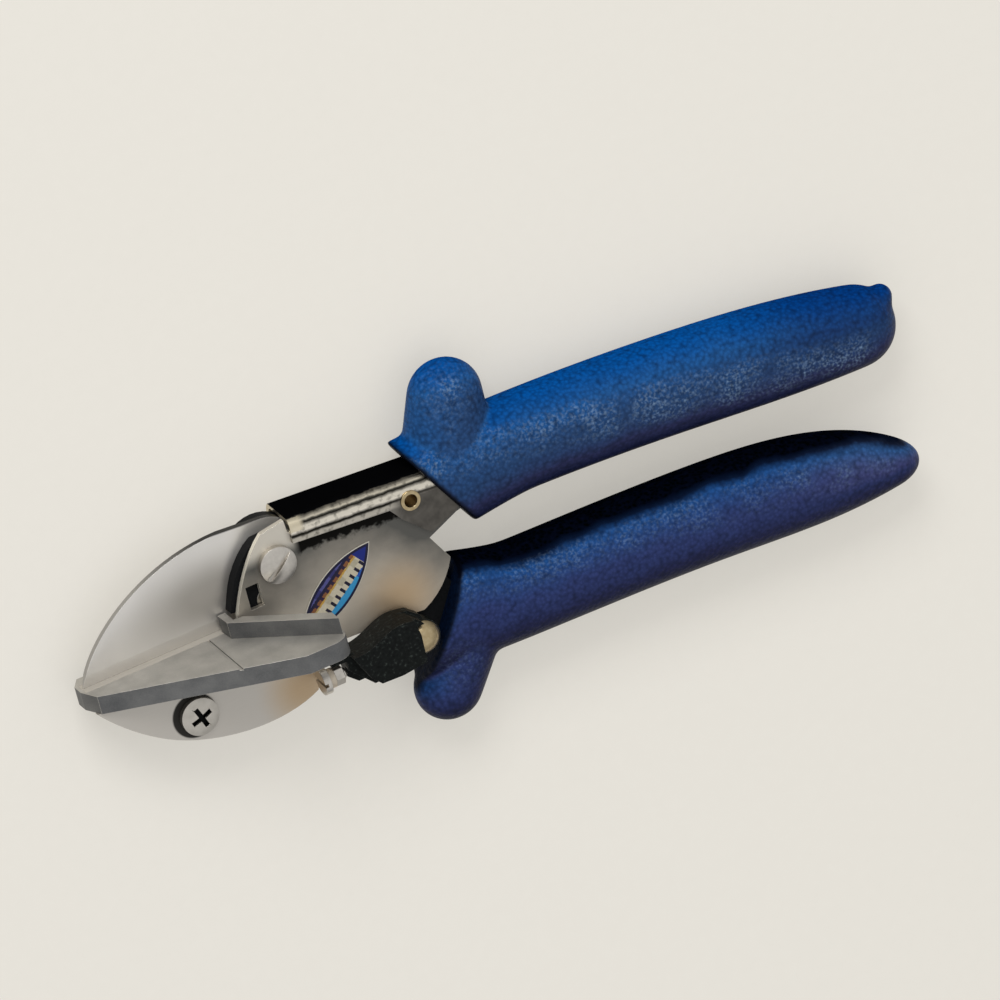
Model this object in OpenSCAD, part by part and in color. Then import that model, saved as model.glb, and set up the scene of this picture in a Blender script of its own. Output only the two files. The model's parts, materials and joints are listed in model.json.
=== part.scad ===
// Hand-held mitre shears, lying on their side.
// The origin is the mitre point: on top of the anvil, in the plane of the blade, where the
// 45 degree fence meets the cutting edge. +X runs along the edge to the handles, +Y is up in the
// plane of the cut, and +Z points out of that plane on the side of the mitre table.

/* [Blade] */
// Distance from the mitre point to the tip of the blade
blade_reach = 29.4; // [26:0.2:33]
// Height of the blade above the anvil
blade_h = 23.8; // [21:0.2:24]
// Thickness of the blade
blade_t = 1.6; // [1:0.1:2.2]
// Height of the ground bevel along the edge
bevel_h = 3.2; // [2:0.2:5]
// Air between the closed edge and the anvil
edge_gap = 0.05; // [0.02:0.01:0.2]
// Radius of the blade screws
blade_screw_r = 1.5; // [1.2:0.1:2]

/* [Body] */
// Clear width between the two cheeks
cheek_gap = 9; // [8:0.2:10]
// Thickness of each cheek
cheek_t = 1.5; // [1:0.1:2]
// Depth of the lower jaw below the anvil
jaw_depth = 24.8; // [21:0.2:28]
// Sheet thickness of the folded channel over the cheeks
channel_t = 1.3; // [1:0.1:1.6]
// Outside radius of the channel's bends
channel_bend_r = 3.4; // [2.5:0.1:4.5]
// Depth of the channel's sides where it lies in the grip
channel_depth = 8; // [7:0.2:9]
// Where the channel starts, behind the mitre point
channel_x = 28; // [27.5:0.1:30]
// Height of the channel's top at its start
channel_y = 23; // [22.8:0.1:24]
// Slope of the channel's top, falling to the rear
channel_tilt = 4.2; // [3:0.2:5]
// Length of the channel
channel_len = 98; // [80:1:110]

/* [Mitre table] */
// Thickness of the table plate
table_t = 4.7; // [3.6:0.1:6]
// How far the table reaches out from the blade
table_reach = 30; // [28:0.5:34]
// Angle between the table's front edge and the blade
table_angle = 27.6; // [24:0.2:30]
// Width of the anvil strip
anvil_w = 5; // [4:0.2:6]
// Thickness of the anvil strip
anvil_t = 2; // [1.5:0.1:2.6]
// Width of the square mark across the table
mark_w = 0.8; // [0.5:0.1:1.2]
// Where the square mark lies, behind the mitre point
mark_x = 1.8; // [0:0.1:2.4]

/* [Fence] */
// Thickness of the fence
fence_t = 2.9; // [2.6:0.1:3.6]
// Height of the fence above the table
fence_h = 4.3; // [3.5:0.1:8]
// How far inside the table's outer edge the fence ends
fence_inset = 3; // [2.4:0.1:5]
// Radius of the fence screws
fence_screw_r = 0.9; // [0.7:0.05:1]

/* [Pivot] */
// Pivot's distance behind the mitre point
pivot_x = 22.3; // [21.8:0.1:22.6]
// Pivot's height above the anvil
pivot_y = 13.2; // [12.8:0.1:13.4]
// Radius of the pivot bolt
pivot_r = 3; // [2.5:0.1:3.3]
// Radius of the pivot bolt's head
pivot_head_r = 4.6; // [4.4:0.1:5.4]
// Height of the pivot bolt's head
pivot_head_h = 2.6; // [2.2:0.1:3.6]
// Wall of the bush in the arm
bush_wall = 1.4; // [1:0.1:1.8]
// Radial running clearance between bolt and bush
running_gap = 0.05; // [0.02:0.01:0.1]
// Play between the arm and each cheek, filled by a washer
side_play = 0.4; // [0.3:0.05:0.6]

/* [Jaw screw] */
// Radius of the jaw screw's shank
jaw_screw_r = 2; // [1.5:0.1:2.5]
// Radius of the jaw screw's head
jaw_head_r = 4.7; // [4:0.1:5.2]
// Height of the jaw screw's head
jaw_head_h = 2.4; // [2:0.1:3]

/* [Handles] */
// Height of both grips at the middle
grip_h = 23.8; // [23:0.2:27]
// Width of both grips across the plane of the cut
grip_w = 19.4; // [19:0.2:22]
// How far behind the mitre point the upper grip ends
upper_grip_end = 186; // [176:1:196]
// How far behind the mitre point the lower grip ends
lower_grip_end = 182.6; // [176:1:190]
// Radius of the thumb guard on the upper grip
thumb_guard_r = 9.3; // [8.4:0.1:10]
// Radius of the finger guard on the lower grip
finger_guard_r = 8.6; // [8:0.1:9.4]
// Height of the arm's tang in the lower grip
tang_h = 10; // [8:0.2:12]
// Length of the arm's tang in the lower grip
tang_len = 66; // [50:1:75]

/* [Spring] */
// Outside radius of the return spring
spring_r = 3.9; // [3.3:0.1:4.1]
// Radius of the spring's wire
spring_wire_r = 0.6; // [0.4:0.05:0.7]
// Number of turns of the spring
spring_turns = 6; // [4:1:7]
// Where the spring stands, behind the mitre point
spring_x = 44; // [42:0.2:47]

/* [Catch] */
// Catch pin's distance behind the mitre point
catch_x = 50.4; // [50:0.1:51]
// Catch pin's depth below the anvil
catch_drop = 17.4; // [17.2:0.1:18]
// Radius of the catch pin
catch_pin_r = 2; // [1.6:0.1:2.2]
// Radius of the catch pin's head
catch_head_r = 4.2; // [3.4:0.1:4.4]
// Radius of the stop screw
stop_screw_r = 1.3; // [1.1:0.05:1.4]
// Width across the flats of the lock nut
lock_nut_af = 4.2; // [3.8:0.1:4.4]
// Thickness of the lug that holds the stop screw
lug_t = 1.5; // [1.2:0.1:1.6]

/* [Label] */
// Length of the label
label_len = 28; // [24:0.5:29]
// Width of the label
label_w = 9.6; // [8:0.2:11]
// Thickness of the label
label_t = 0.2; // [0.1:0.05:0.3]

/* [Hidden] */
$fn = 48;

// Levels across the plane of the cut
cheek_in = cheek_gap / 2;
cheek_out = cheek_in + cheek_t;
channel_out = cheek_out + channel_t;
arm_side = cheek_in - side_play;

// Colours
steel = "silver";
bright = "gainsboro";
casting = "dimgray";
vinyl = "royalblue";
black = "#222222";
brass = "#c8a050";

pivot = [pivot_x, pivot_y];
catch_axis = [catch_x, -catch_drop];
bush_r = pivot_r + running_gap + bush_wall;

// The channel's top edge falls to the rear
function channel_top(x) = channel_y - (x - channel_x) * tan(channel_tilt);

// Points of a cubic curve through its two ends
function curve(a, b, c, d, n = 14) = [for (i = [0:n]) let (t = i / n, s = 1 - t)
    s * s * s * a + 3 * s * s * t * b + 3 * s * t * t * c + t * t * t * d];

// Points of an arc about a centre
function arc(centre, r, from, to, n = 12) = [for (i = [0:n]) let (w = from + (to - from) * i / n)
    centre + r * [cos(w), sin(w)]];

// A prism of an outline in the plane of the cut, between two levels
module plate(points, low, high) {
    translate([0, 0, low]) linear_extrude(high - low) polygon(points);
}

// A round bar across the plane of the cut
module post(at, r, low, high) {
    translate([at[0], at[1], low]) cylinder(r = r, h = high - low);
}

// A plate laid on the table: its outline is in X and Z
module laid(points, low, high) {
    translate([0, high, 0]) rotate([90, 0, 0]) linear_extrude(high - low) polygon(points);
}

// ---- Body ----

// The jaw stands this far in front of the blade's tip
nose_x = -blade_reach - 1.2;
jaw_front = -blade_reach - 0.1;
// Rear end of the table's tongue and of the anvil
tongue_rear = 8.4;
riser_x = tongue_rear + 0.3;
jaw_screw_at = [-6, -jaw_depth * 0.61];
rivet_x = 57.5;
rivet_at = [rivet_x, channel_top(rivet_x) - 5.8];
rivet_r = 2.1;
rivet_bore = 1.6;
lug_x = 24.6;
// Rear end of the cheeks inside the grip, and the notch behind them
tail_x = 78;
notch = [60, 3.4];

// The front corner of each cheek rises to a given depth under the channel's top
function cheek_outline(crown) = concat(
    [[riser_x, -table_t]],
    curve([9.8, 4.4], [11.8, 10], [15.6, 17.6], [channel_x - 7.4, channel_y - 1.3 - crown], 8),
    [[channel_x - 1.2, channel_top(channel_x) - 0.3 - crown]],
    [[channel_x - 1, cheek_top(channel_x - 1)]],
    [[tail_x, cheek_top(tail_x)], [tail_x, 9.2], [68, 7], notch],
    curve([63.6, -3.4], [61.6, -8], [58.4, -11.4], [54, -13.4], 6),
    [[47, -12.8], [34, -12.2]],
    curve([31, -13.4], [29, -14.2], [27.6, -16], [lug_x + lug_t, -17.4], 6),
    belly(0));

// The cheeks' top edge lies below the channel's inner bends
function cheek_top(x) = channel_top(x) - channel_bend_r - 0.2;

// Underside of the lower jaw, from the rear to the nose
function belly(inset) = concat(
    curve([23.8, -jaw_depth + 3.2 + inset], [17, -jaw_depth - 0.2 + inset],
        [5, -jaw_depth - 1 + inset], [-7.9, -jaw_depth + 3.7 + inset], 12),
    curve([-7.9, -jaw_depth + 3.7 + inset], [-17, -jaw_depth * 0.72 + inset],
        [-25, -jaw_depth * 0.42], [jaw_front + inset, -table_t], 12));

module cheek_plate(crown, low, high) {
    difference() {
        plate(cheek_outline(crown), low, high);
        post(pivot, pivot_r, low - 1, high + 1);
        post(jaw_screw_at, jaw_screw_r, low - 1, high + 1);
        post(rivet_at, rivet_r, low - 1, high + 1);
    }
}

// Stop screw's axis, along X through the lug
stop_y = -catch_drop + 0.6;
stop_z = cheek_out + 6.4;
lock_nut_r = lock_nut_af / 2 / cos(30);

module near_cheek() {
    color(steel) {
        difference() {
            cheek_plate(0, cheek_in, cheek_out);
            // Window beside the pivot
            translate([13.4, 4.4, cheek_in - 1]) cube([3.4, 6, cheek_t + 2]);
        }
        // Lug bent out of the cheek, narrow at its root
        difference() {
            union() {
                translate([lug_x, stop_y - lock_nut_r, cheek_in])
                    cube([lug_t, lock_nut_r + 0.6, stop_z - cheek_in]);
                translate([lug_x, stop_y, stop_z]) rotate([0, 90, 0])
                    cylinder(r = lock_nut_r, h = lug_t);
            }
            translate([lug_x - 1, stop_y, stop_z]) rotate([0, 90, 0])
                cylinder(r = stop_screw_r, h = lug_t + 2);
        }
    }
}

module far_cheek() {
    color(steel) cheek_plate(2.6, -cheek_out, -cheek_in);
}

// Section of the folded channel, top at zero
module channel_section() {
    inner_r = channel_bend_r - channel_t;
    difference() {
        union() {
            translate([-channel_out, -30]) square([2 * channel_out, 30 - channel_bend_r]);
            translate([-channel_out + channel_bend_r, -channel_bend_r])
                square([2 * (channel_out - channel_bend_r), channel_bend_r]);
            for (side = [-1, 1])
                translate([side * (channel_out - channel_bend_r), -channel_bend_r])
                    circle(channel_bend_r);
        }
        translate([-cheek_out, -31]) square([2 * cheek_out, 31 - channel_bend_r]);
        translate([-cheek_out + inner_r, -channel_bend_r - 1])
            square([2 * (cheek_out - inner_r), inner_r + 1]);
        for (side = [-1, 1])
            translate([side * (cheek_out - inner_r), -channel_bend_r]) circle(inner_r);
    }
}

// Side view of the channel: shallow in front, deep round the rivet, then a tang in the grip
channel_end = channel_x + channel_len;
function channel_side() = let (x0 = channel_x, x1 = channel_end) [
    [x0, channel_top(x0) + 5], [x0 - 0.8, channel_top(x0) - 6.2], [52, channel_top(52) - 6.6],
    [54.4, channel_top(54.4) - 9.8], [60.4, 5.2], [68, 8.2],
    [71, channel_top(71) - channel_depth], [x1, channel_top(x1) - channel_depth],
    [x1, channel_top(x1) + 5]];

module channel() {
    color(bright) difference() {
        intersection() {
            plate(channel_side(), -20, 20);
            translate([channel_x, channel_y, 0]) rotate([0, 0, -channel_tilt])
                translate([-10, 0, 0]) rotate([0, 90, 0])
                    linear_extrude(channel_len + 30) channel_section();
        }
        post(rivet_at, rivet_r, -20, 20);
        spring_seat_hole();
    }
}

module spacer_rivet() {
    flange_r = rivet_r + 0.4;
    flange_t = 0.4;
    color(brass) difference() {
        union() {
            post(rivet_at, rivet_r, -channel_out, channel_out);
            post(rivet_at, flange_r, channel_out, channel_out + flange_t);
            post(rivet_at, flange_r, -channel_out - flange_t, -channel_out);
        }
        post(rivet_at, rivet_bore, -20, 20);
    }
}

// ---- Mitre table, anvil and fence ----

table_edge_x = nose_x + 2;
table_edge_z = cheek_out + 0.6;
table_corner_x = table_edge_x + (table_reach - table_edge_z) / tan(table_angle);
// The fence's back face lies this far behind its guide face, along X
fence_back = fence_t * sqrt(2);
table_back = fence_back + 1.2;

function table_outline() = let (back_x = table_reach - 2.2, corner_r = 4.4) [
    [riser_x - 0.3, -cheek_out], [nose_x + 2, -cheek_out], [nose_x, -2.6], [nose_x, 1.2],
    [table_edge_x, table_edge_z], [table_corner_x, table_reach],
    each arc([back_x - corner_r, table_reach - corner_r], corner_r, 90, 0, 8),
    [back_x, back_x - table_back], [cheek_out + 0.6 + table_back, cheek_out + 0.6],
    [riser_x - 0.3, cheek_out + 0.6]];

module mitre_table() {
    color(casting) difference() {
        union() {
            laid(table_outline(), -table_t, 0);
            // Tongue between the cheeks
            intersection() {
                plate(concat([[tongue_rear, -table_t / 2], [tongue_rear, -jaw_depth + 5]],
                    belly(3), [[jaw_front + 3, -table_t / 2]]), -cheek_in, cheek_in);
                translate([nose_x, -40, -10]) cube([tongue_rear - nose_x, 39, 20]);
            }
        }
        // Groove for the anvil
        translate([-blade_reach - 0.4, -anvil_t, -anvil_w / 2])
            cube([blade_reach + tongue_rear + 2, anvil_t + 1, anvil_w]);
        // Square mark across the top
        translate([mark_x, -0.4, anvil_w / 2]) cube([mark_w, 1, table_reach]);
        post(jaw_screw_at, jaw_screw_r, -20, 20);
        fence_screw_places() {
            translate([0, -table_t - 1, 0]) rotate([-90, 0, 0]) cylinder(r = fence_screw_r, h = 20);
            translate([0, -table_t - 1, 0]) rotate([-90, 0, 0])
                cylinder(r = fence_screw_r * 2, h = 1 + fence_screw_head_h);
        }
    }
}

module anvil_strip() {
    color("#e8e2cc") translate([-blade_reach - 0.4, -anvil_t, -anvil_w / 2])
        cube([blade_reach + 0.4 + tongue_rear, anvil_t, anvil_w]);
}

// Plan of the fence: guide face on the line X = Z, outer end square to the blade
fence_reach = table_reach - fence_inset;
function fence_outline() = [[cheek_out + 0.4, 1.3], [cheek_out + 0.6, cheek_out + 0.6],
    [fence_reach, fence_reach], [fence_reach, fence_reach - fence_back],
    [cheek_out + 0.6 + fence_back, cheek_out + 0.6], [riser_x - 0.3, cheek_out + 0.3],
    [riser_x - 0.3, 1.3]];

fence_screw_head_h = 1.2;
module fence_screw_places() {
    for (z = [fence_reach * 0.42, fence_reach * 0.8])
        translate([z + fence_back / 2, 0, z]) children();
}

module mitre_fence() {
    color(casting) difference() {
        laid(fence_outline(), 0, fence_h);
        fence_screw_places() translate([0, -1, 0]) rotate([-90, 0, 0])
            cylinder(r = fence_screw_r, h = 1 + fence_h * 0.7);
    }
}

module fence_screws() {
    color(steel) fence_screw_places() {
        translate([0, -table_t + fence_screw_head_h, 0]) rotate([-90, 0, 0])
            cylinder(r = fence_screw_r, h = table_t - fence_screw_head_h + fence_h * 0.6);
        difference() {
            translate([0, -table_t, 0]) rotate([-90, 0, 0])
                cylinder(r = fence_screw_r * 2, h = fence_screw_head_h);
            translate([-5, -table_t - 0.1, -0.2]) cube([10, 0.6, 0.4]);
        }
    }
}

// A domed head standing on a level, cut from a ball
module dome(at, r, h, level) {
    ball_r = (r * r + h * h) / (2 * h);
    translate([at[0], at[1], level]) intersection() {
        translate([0, 0, h - ball_r]) sphere(r = ball_r);
        cylinder(r = r, h = h + 1);
    }
}

// A head with a straight wall under a shallow dome
module pan_head(at, r, h, level) {
    post(at, r, level, level + h * 0.6);
    dome(at, r, h * 0.4, level + h * 0.6);
}

// A cross recess in a head whose top is at a level
module cross_recess(at, size, depth, level) {
    for (turn = [0, 90]) translate([at[0], at[1], level]) rotate([0, 0, turn + 20])
        translate([-size / 2, -size * 0.11, -depth]) cube([size, size * 0.22, depth + 1]);
}

module hex_nut(at, r, bore, low, high) {
    difference() {
        translate([at[0], at[1], low]) cylinder(r = r, h = high - low, $fn = 6);
        post(at, bore, low - 1, high + 1);
    }
}

// The nuts reach down to the level of the grips, so the tool lies flat on its side
nut_h = grip_w / 2 - cheek_out;

module jaw_screw() {
    color(bright) difference() {
        union() {
            pan_head(jaw_screw_at, jaw_head_r, jaw_head_h, cheek_out);
            post(jaw_screw_at, jaw_screw_r, -cheek_out - nut_h, cheek_out);
        }
        cross_recess(jaw_screw_at, jaw_head_r * 1.15, jaw_head_h * 0.55, cheek_out + jaw_head_h);
    }
}

module jaw_nut() {
    color(steel) hex_nut(jaw_screw_at, jaw_screw_r * 2, jaw_screw_r, -cheek_out - nut_h, -cheek_out);
}

label_at = [34.3, 0.5];
label_turn = 37;
module label_plate() {
    // Two arcs make the pointed oval
    oval_r = (label_len * label_len + label_w * label_w) / (4 * label_w);
    color("navy") translate([label_at[0], label_at[1], cheek_out]) rotate([0, 0, label_turn])
        linear_extrude(label_t) intersection() {
            translate([0, label_w / 2 - oval_r]) circle(oval_r, $fn = 96);
            translate([0, oval_r - label_w / 2]) circle(oval_r, $fn = 96);
        }
}

// ---- Stop screw in its lug ----

// A round piece along X at the stop screw's axis
module along_x(r, from, to) {
    translate([from, stop_y, stop_z]) rotate([0, 90, 0]) cylinder(r = r, h = to - from);
}

lock_nut_h = 2.4;
stop_head_r = 3.3;
stop_tip_x = lug_x + lug_t + lock_nut_h + 1;
module stop_screw() {
    color(bright) {
        difference() {
            along_x(stop_head_r, lug_x - 1.8, lug_x);
            translate([lug_x - 2.8, stop_y - 0.4, stop_z - 5]) cube([1.8, 0.8, 10]);
        }
        along_x(stop_screw_r, lug_x, stop_tip_x - 0.5);
        translate([stop_tip_x - 0.5, stop_y, stop_z]) rotate([0, 90, 0])
            cylinder(r1 = stop_screw_r, r2 = stop_screw_r - 0.5, h = 0.5);
    }
}

module lock_nut() {
    from = lug_x + lug_t;
    color(bright) difference() {
        translate([from, stop_y, stop_z]) rotate([0, 90, 0])
            cylinder(r = lock_nut_r, h = lock_nut_h, $fn = 6);
        along_x(stop_screw_r, from - 1, from + lock_nut_h + 1);
    }
}

// ---- Pivot ----

module pivot_bolt() {
    color(bright) difference() {
        union() {
            pan_head(pivot, pivot_head_r, pivot_head_h, cheek_out);
            post(pivot, pivot_r, -cheek_out - nut_h, cheek_out);
        }
        translate([pivot_x, pivot_y, cheek_out + pivot_head_h]) rotate([0, 0, 40])
            translate([-6, -0.5, -0.9]) cube([12, 1, 2]);
    }
}

module pivot_nut() {
    color(steel) hex_nut(pivot, pivot_r * 1.85, pivot_r, -cheek_out - nut_h, -cheek_out);
}

washer_gap = 0.03;
module pivot_washers() {
    color(brass) for (side = [0, 1]) mirror([0, 0, side]) difference() {
        post(pivot, bush_r + 2, arm_side + washer_gap, cheek_in - washer_gap);
        post(pivot, pivot_r + running_gap, 0, 10);
    }
}

module pivot_bush() {
    color(brass) difference() {
        post(pivot, bush_r, -arm_side, arm_side);
        post(pivot, pivot_r + running_gap, -10, 10);
    }
}

// ---- Blade and arm ----

// The blade's heel and the arm turn inside this radius of the channel's front edge
swing_r = norm([channel_x, channel_top(channel_x) - channel_t] - pivot) - 0.5;
blade_screw_at = [pivot + [7.6, -6.4], pivot + [-3.6, -8.6]];

function blade_outline() = concat(
    curve([-blade_reach, edge_gap + 0.3], [-blade_reach + 2.9, blade_h * 0.4],
        [-10, blade_h], [12, blade_h], 22),
    arc(pivot, swing_r, 84, 10),
    [pivot + [11.4, -4], pivot + [9.6, -12], [17, edge_gap], [-blade_reach, edge_gap]]);

module blade() {
    color(bright) difference() {
        intersection() {
            plate(blade_outline(), -blade_t / 2, blade_t / 2);
            // Wedge section along the edge
            translate([-blade_reach - 1, 0, 0]) rotate([0, 90, 0]) linear_extrude(90)
                polygon([[-0.08, edge_gap - 0.001], [0.08, edge_gap - 0.001],
                    [blade_t / 2, bevel_h], [blade_t / 2, 40], [-blade_t / 2, 40],
                    [-blade_t / 2, bevel_h]]);
        }
        post(pivot, bush_r, -5, 5);
        for (at = blade_screw_at) post(at, blade_screw_r, -5, 5);
    }
}

arm_step_x = pivot_x + 13.4;
tang_start = [60, -18];
tang_tilt = 4.6;
function tang_point(along, side) = tang_start
    + along * [cos(tang_tilt), -sin(tang_tilt)] + side * tang_h / 2 * [sin(tang_tilt), cos(tang_tilt)];

// Outline of the whole arm, from round the pivot down to the end of its tang
function arm_outline() = concat(
    arc(pivot, swing_r - 0.3, 150, 30),
    [[37, 11.4], [51, 7.4], [57, 2.4], [61.6, -8]],
    [tang_point(4, 1), tang_point(tang_len, 1), tang_point(tang_len, -1), tang_point(-1, -1)],
    arc(catch_axis, catch_pin_r + 3, -60, -170, 8),
    [[40, -11], [29, -6.4], [18, -1.6], [15.2, 1.4]]);

module blade_arm() {
    color(black) difference() {
        union() {
            plate(arm_outline(), -arm_side, -blade_t / 2);
            intersection() {
                plate(arm_outline(), -arm_side, arm_side);
                translate([arm_step_x, -60, -10]) cube([200, 120, 20]);
            }
        }
        post(pivot, bush_r, -10, 10);
        for (at = blade_screw_at) post(at, blade_screw_r, -10, 10);
        post(catch_axis, catch_pin_r, -10, 10);
        spring_post_hole();
    }
}

// The clamp covers the blade's root and shows in front of the near cheek
function clamp_outline() = concat(
    [[8.9, 4.8]], curve([10, 8], [11.4, 12.4], [15, 17.6], pivot + [-3.2, swing_r - 3.2], 6),
    arc(pivot, swing_r - 3, 90, 30),
    [[arm_step_x - 0.1, 11.4], [arm_step_x - 0.1, -9], [29, -6.4], [18, -1.6], [15.2, 1.4], [10.4, 4.5]]);

module blade_clamp() {
    color(black) difference() {
        plate(clamp_outline(), blade_t / 2, arm_side);
        post(pivot, bush_r, -10, 10);
        for (at = blade_screw_at) {
            post(at, blade_screw_r, -10, 10);
            post(at, blade_screw_r * 1.9, arm_side - 1.3, 10);
        }
    }
}

module blade_screws() {
    color(steel) for (at = blade_screw_at) {
        post(at, blade_screw_r, -arm_side, arm_side - 1.3);
        difference() {
            post(at, blade_screw_r * 1.9, arm_side - 1.3, arm_side);
            translate([at[0], at[1], arm_side - 0.7]) cylinder(r = blade_screw_r * 0.9, h = 2, $fn = 6);
        }
    }
}

// ---- Return spring between the channel and the arm ----

spring_top = channel_top(spring_x) - channel_t - 0.6;
// The arm's top edge under the spring
spring_foot = 11.4 - (spring_x - 37) * 4 / 14 + 1.2;
seat_r = spring_r - 2 * spring_wire_r - 0.25;

module spring_seat_hole() {
    translate([spring_x, spring_top, 0]) rotate([-90, 0, 0]) cylinder(r = seat_r * 0.6, h = 10);
}

module spring_post_hole() {
    translate([spring_x, spring_foot - 6, 0]) rotate([-90, 0, 0])
        cylinder(r = seat_r * 0.6, h = 10);
}

// A washer with a spigot on one side and a rivet on the other
module upper_spring_seat() {
    color(steel) translate([spring_x, spring_top, 0]) {
        rotate([-90, 0, 0]) cylinder(r = seat_r * 0.6, h = 0.6 + channel_t);
        rotate([90, 0, 0]) cylinder(r = spring_r, h = 0.6);
        rotate([90, 0, 0]) cylinder(r = seat_r, h = 2.4);
    }
}

module lower_spring_seat() {
    color(steel) translate([spring_x, spring_foot, 0]) {
        rotate([90, 0, 0]) cylinder(r = seat_r * 0.6, h = 6);
        rotate([-90, 0, 0]) cylinder(r = spring_r, h = 0.6);
        rotate([-90, 0, 0]) cylinder(r = seat_r, h = 2.4);
    }
}

// Each turn is a slanted ring, so the coil stays a true round wire
module return_spring() {
    low = spring_foot + 0.6 + spring_wire_r;
    pitch = (spring_top - 0.6 - spring_wire_r - low) / (spring_turns - 1);
    color(steel) for (turn = [0:spring_turns - 1])
        translate([spring_x, low + turn * pitch, 0]) rotate([90, 0, 0])
            rotate_extrude($fn = 32) translate([spring_r - spring_wire_r, 0])
                circle(spring_wire_r, $fn = 16);
}

// ---- Grips ----

// An egg with its own length, height and width
module egg(at, size) {
    translate([at[0], at[1], 0]) scale(size) sphere(r = 1, $fn = 32);
}

// Rings of an oval bar along a path: one side flares to the mouth, the end tapers and rounds off
// Each ring is a centre, a tilt, a height and a width
function handle_rings(path, flare, flare_len, taper, power, round_len) = let (
    last = len(path) - 1,
    end_d = path[last] - path[last - 1],
    end_tilt = atan2(end_d[1], end_d[0]),
    along = function(i) pow(max(0, i / last - 0.6) / 0.4, power),
    flared = function(i) flare * pow(max(0, 1 - i / last / flare_len), 1.25),
    // The sides swell a little towards the middle
    width = function(i) grip_w * (1 - 0.03 * pow(2 * i / last - 0.9, 2) - taper * 0.6 * along(i)))
    concat(
        [for (i = [0:last]) let (d = path[min(i + 1, last)] - path[max(i - 1, 0)])
            [path[i] + [0, flared(i) / 2], atan2(d[1], d[0]),
                grip_h * (1 - taper * along(i)) + abs(flared(i)), width(i)]],
        [for (w = [22:17:73])
            [path[last] + round_len * sin(w) * [cos(end_tilt), sin(end_tilt)], end_tilt,
                grip_h * (1 - taper) * cos(w), width(last) * cos(w)]]);

// A solid through oval rings
module loft(rings, sides = 32) {
    last = len(rings) - 1;
    points = [for (ring = rings, k = [0:sides - 1])
        let (w = 360 * k / sides, up = ring[2] / 2 * cos(w))
        [ring[0][0] - up * sin(ring[1]), ring[0][1] + up * cos(ring[1]), ring[3] / 2 * sin(w)]];
    side_faces = [for (i = [0:last - 1], k = [0:sides - 1])
        let (a = i * sides + k, b = i * sides + (k + 1) % sides)
        each [[a, b + sides, b], [a, a + sides, b + sides]]];
    end_faces = [for (k = [1:sides - 2]) each
        [[0, k, k + 1], [last * sides, last * sides + k + 1, last * sides + k]]];
    polyhedron(points, concat(end_faces, side_faces));
}

// Everything in front of a slanted mouth
module before_mouth(at, turn) {
    translate([at[0], at[1], 0]) rotate([0, 0, turn]) translate([-60, -60, -30])
        cube([60, 120, 60]);
}

upper_mouth = [65.5, 14];
upper_mouth_turn = 29.3;
// Length of the rounded end
upper_round = 9.4;
upper_reach = upper_grip_end - upper_mouth[0];
upper_path = curve(upper_mouth + [-upper_reach * 0.095, 0.6], upper_mouth + [upper_reach * 0.245, 2.2],
    upper_mouth + [upper_reach * 0.577, -1.4], [upper_grip_end - upper_round, upper_mouth[1] - 7], 12);
module upper_grip() {
    nub = [upper_grip_end - 1.2, 12.5];
    color(vinyl) difference() {
        union() {
            difference() {
                union() {
                    loft(handle_rings(upper_path, -5.4, 0.28, 0.17, 3, upper_round));
                    // Thumb guard
                    hull() {
                        egg(upper_mouth + [9.2, 19.2], [thumb_guard_r, thumb_guard_r, 7.4]);
                        egg(upper_mouth + [6, 5], [12, 7, 8.6]);
                    }
                }
                before_mouth(upper_mouth, upper_mouth_turn);
            }
            // Ridge at the end
            hull() {
                egg(nub, [2, 2, 3.4]);
                egg(nub - [6, 5.4], [4, 5, 5]);
            }
        }
        // Socket for the channel, with room for the cheeks at its mouth
        plate([[50, channel_top(50)], [channel_end, channel_top(channel_end)],
            [channel_end, channel_top(channel_end) - channel_depth],
            [tail_x + 0.1, channel_top(tail_x) - channel_depth], [tail_x + 0.1, 9.1], [68, 6.8],
            [60, 2.3], [50, 2.3]], -channel_out, channel_out);
    }
}

lower_mouth = [58.2, -17.6];
lower_mouth_turn = -32;
lower_round = 5.6;
lower_reach = lower_grip_end - lower_mouth[0];
lower_path = curve(lower_mouth + [-lower_reach * 0.082, -2.2], lower_mouth + [lower_reach * 0.296, -5],
    lower_mouth + [lower_reach * 0.658, -1.8], [lower_grip_end - lower_round, lower_mouth[1] - 12.8], 12);
module lower_grip() {
    color(vinyl) difference() {
        union() {
            difference() {
                loft(handle_rings(lower_path, 8.6, 0.22, 0.54, 3, lower_round));
                before_mouth(lower_mouth, lower_mouth_turn);
            }
            // Finger guard
            hull() {
                egg(lower_mouth - [1.8, 19.4], [finger_guard_r, finger_guard_r, 7]);
                egg(lower_mouth + [6.4, -8], [8.8, 7, 8.4]);
            }
        }
        // Socket for the tang, with room for the arm at its mouth
        plate([[50, 0], [57, 2.4], [61.6, -8], tang_point(4, 1), tang_point(tang_len, 1),
            tang_point(tang_len, -1), tang_point(-1, -1), [50, -26]], -arm_side, arm_side);
    }
}

// ---- Thumb catch ----

catch_base = cheek_out + 1.2;
catch_mid = stop_z - lock_nut_r - 0.3;
catch_step = stop_z + 1;
catch_top = catch_base + 9;
catch_boss_top = catch_base + 3.6;

// Catch outlines, placed from the pin
function from_pin(points) = [for (p = points) catch_axis + p];
catch_hump = curve([-18, 4.6], [-12.4, 4.8], [-10, 8.6], [-4.8, 8], 8);
catch_back = [[-1.6, 7.4], [0.8, 5.4], [2.4, 2.6]];
catch_under = [[-3.4, -3.8], [-8.6, -4.4]];

module catch_pin() {
    color(brass) {
        post(catch_axis, catch_pin_r, -arm_side, catch_boss_top);
        dome(catch_axis, catch_head_r, 2.2, catch_boss_top);
    }
}

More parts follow.
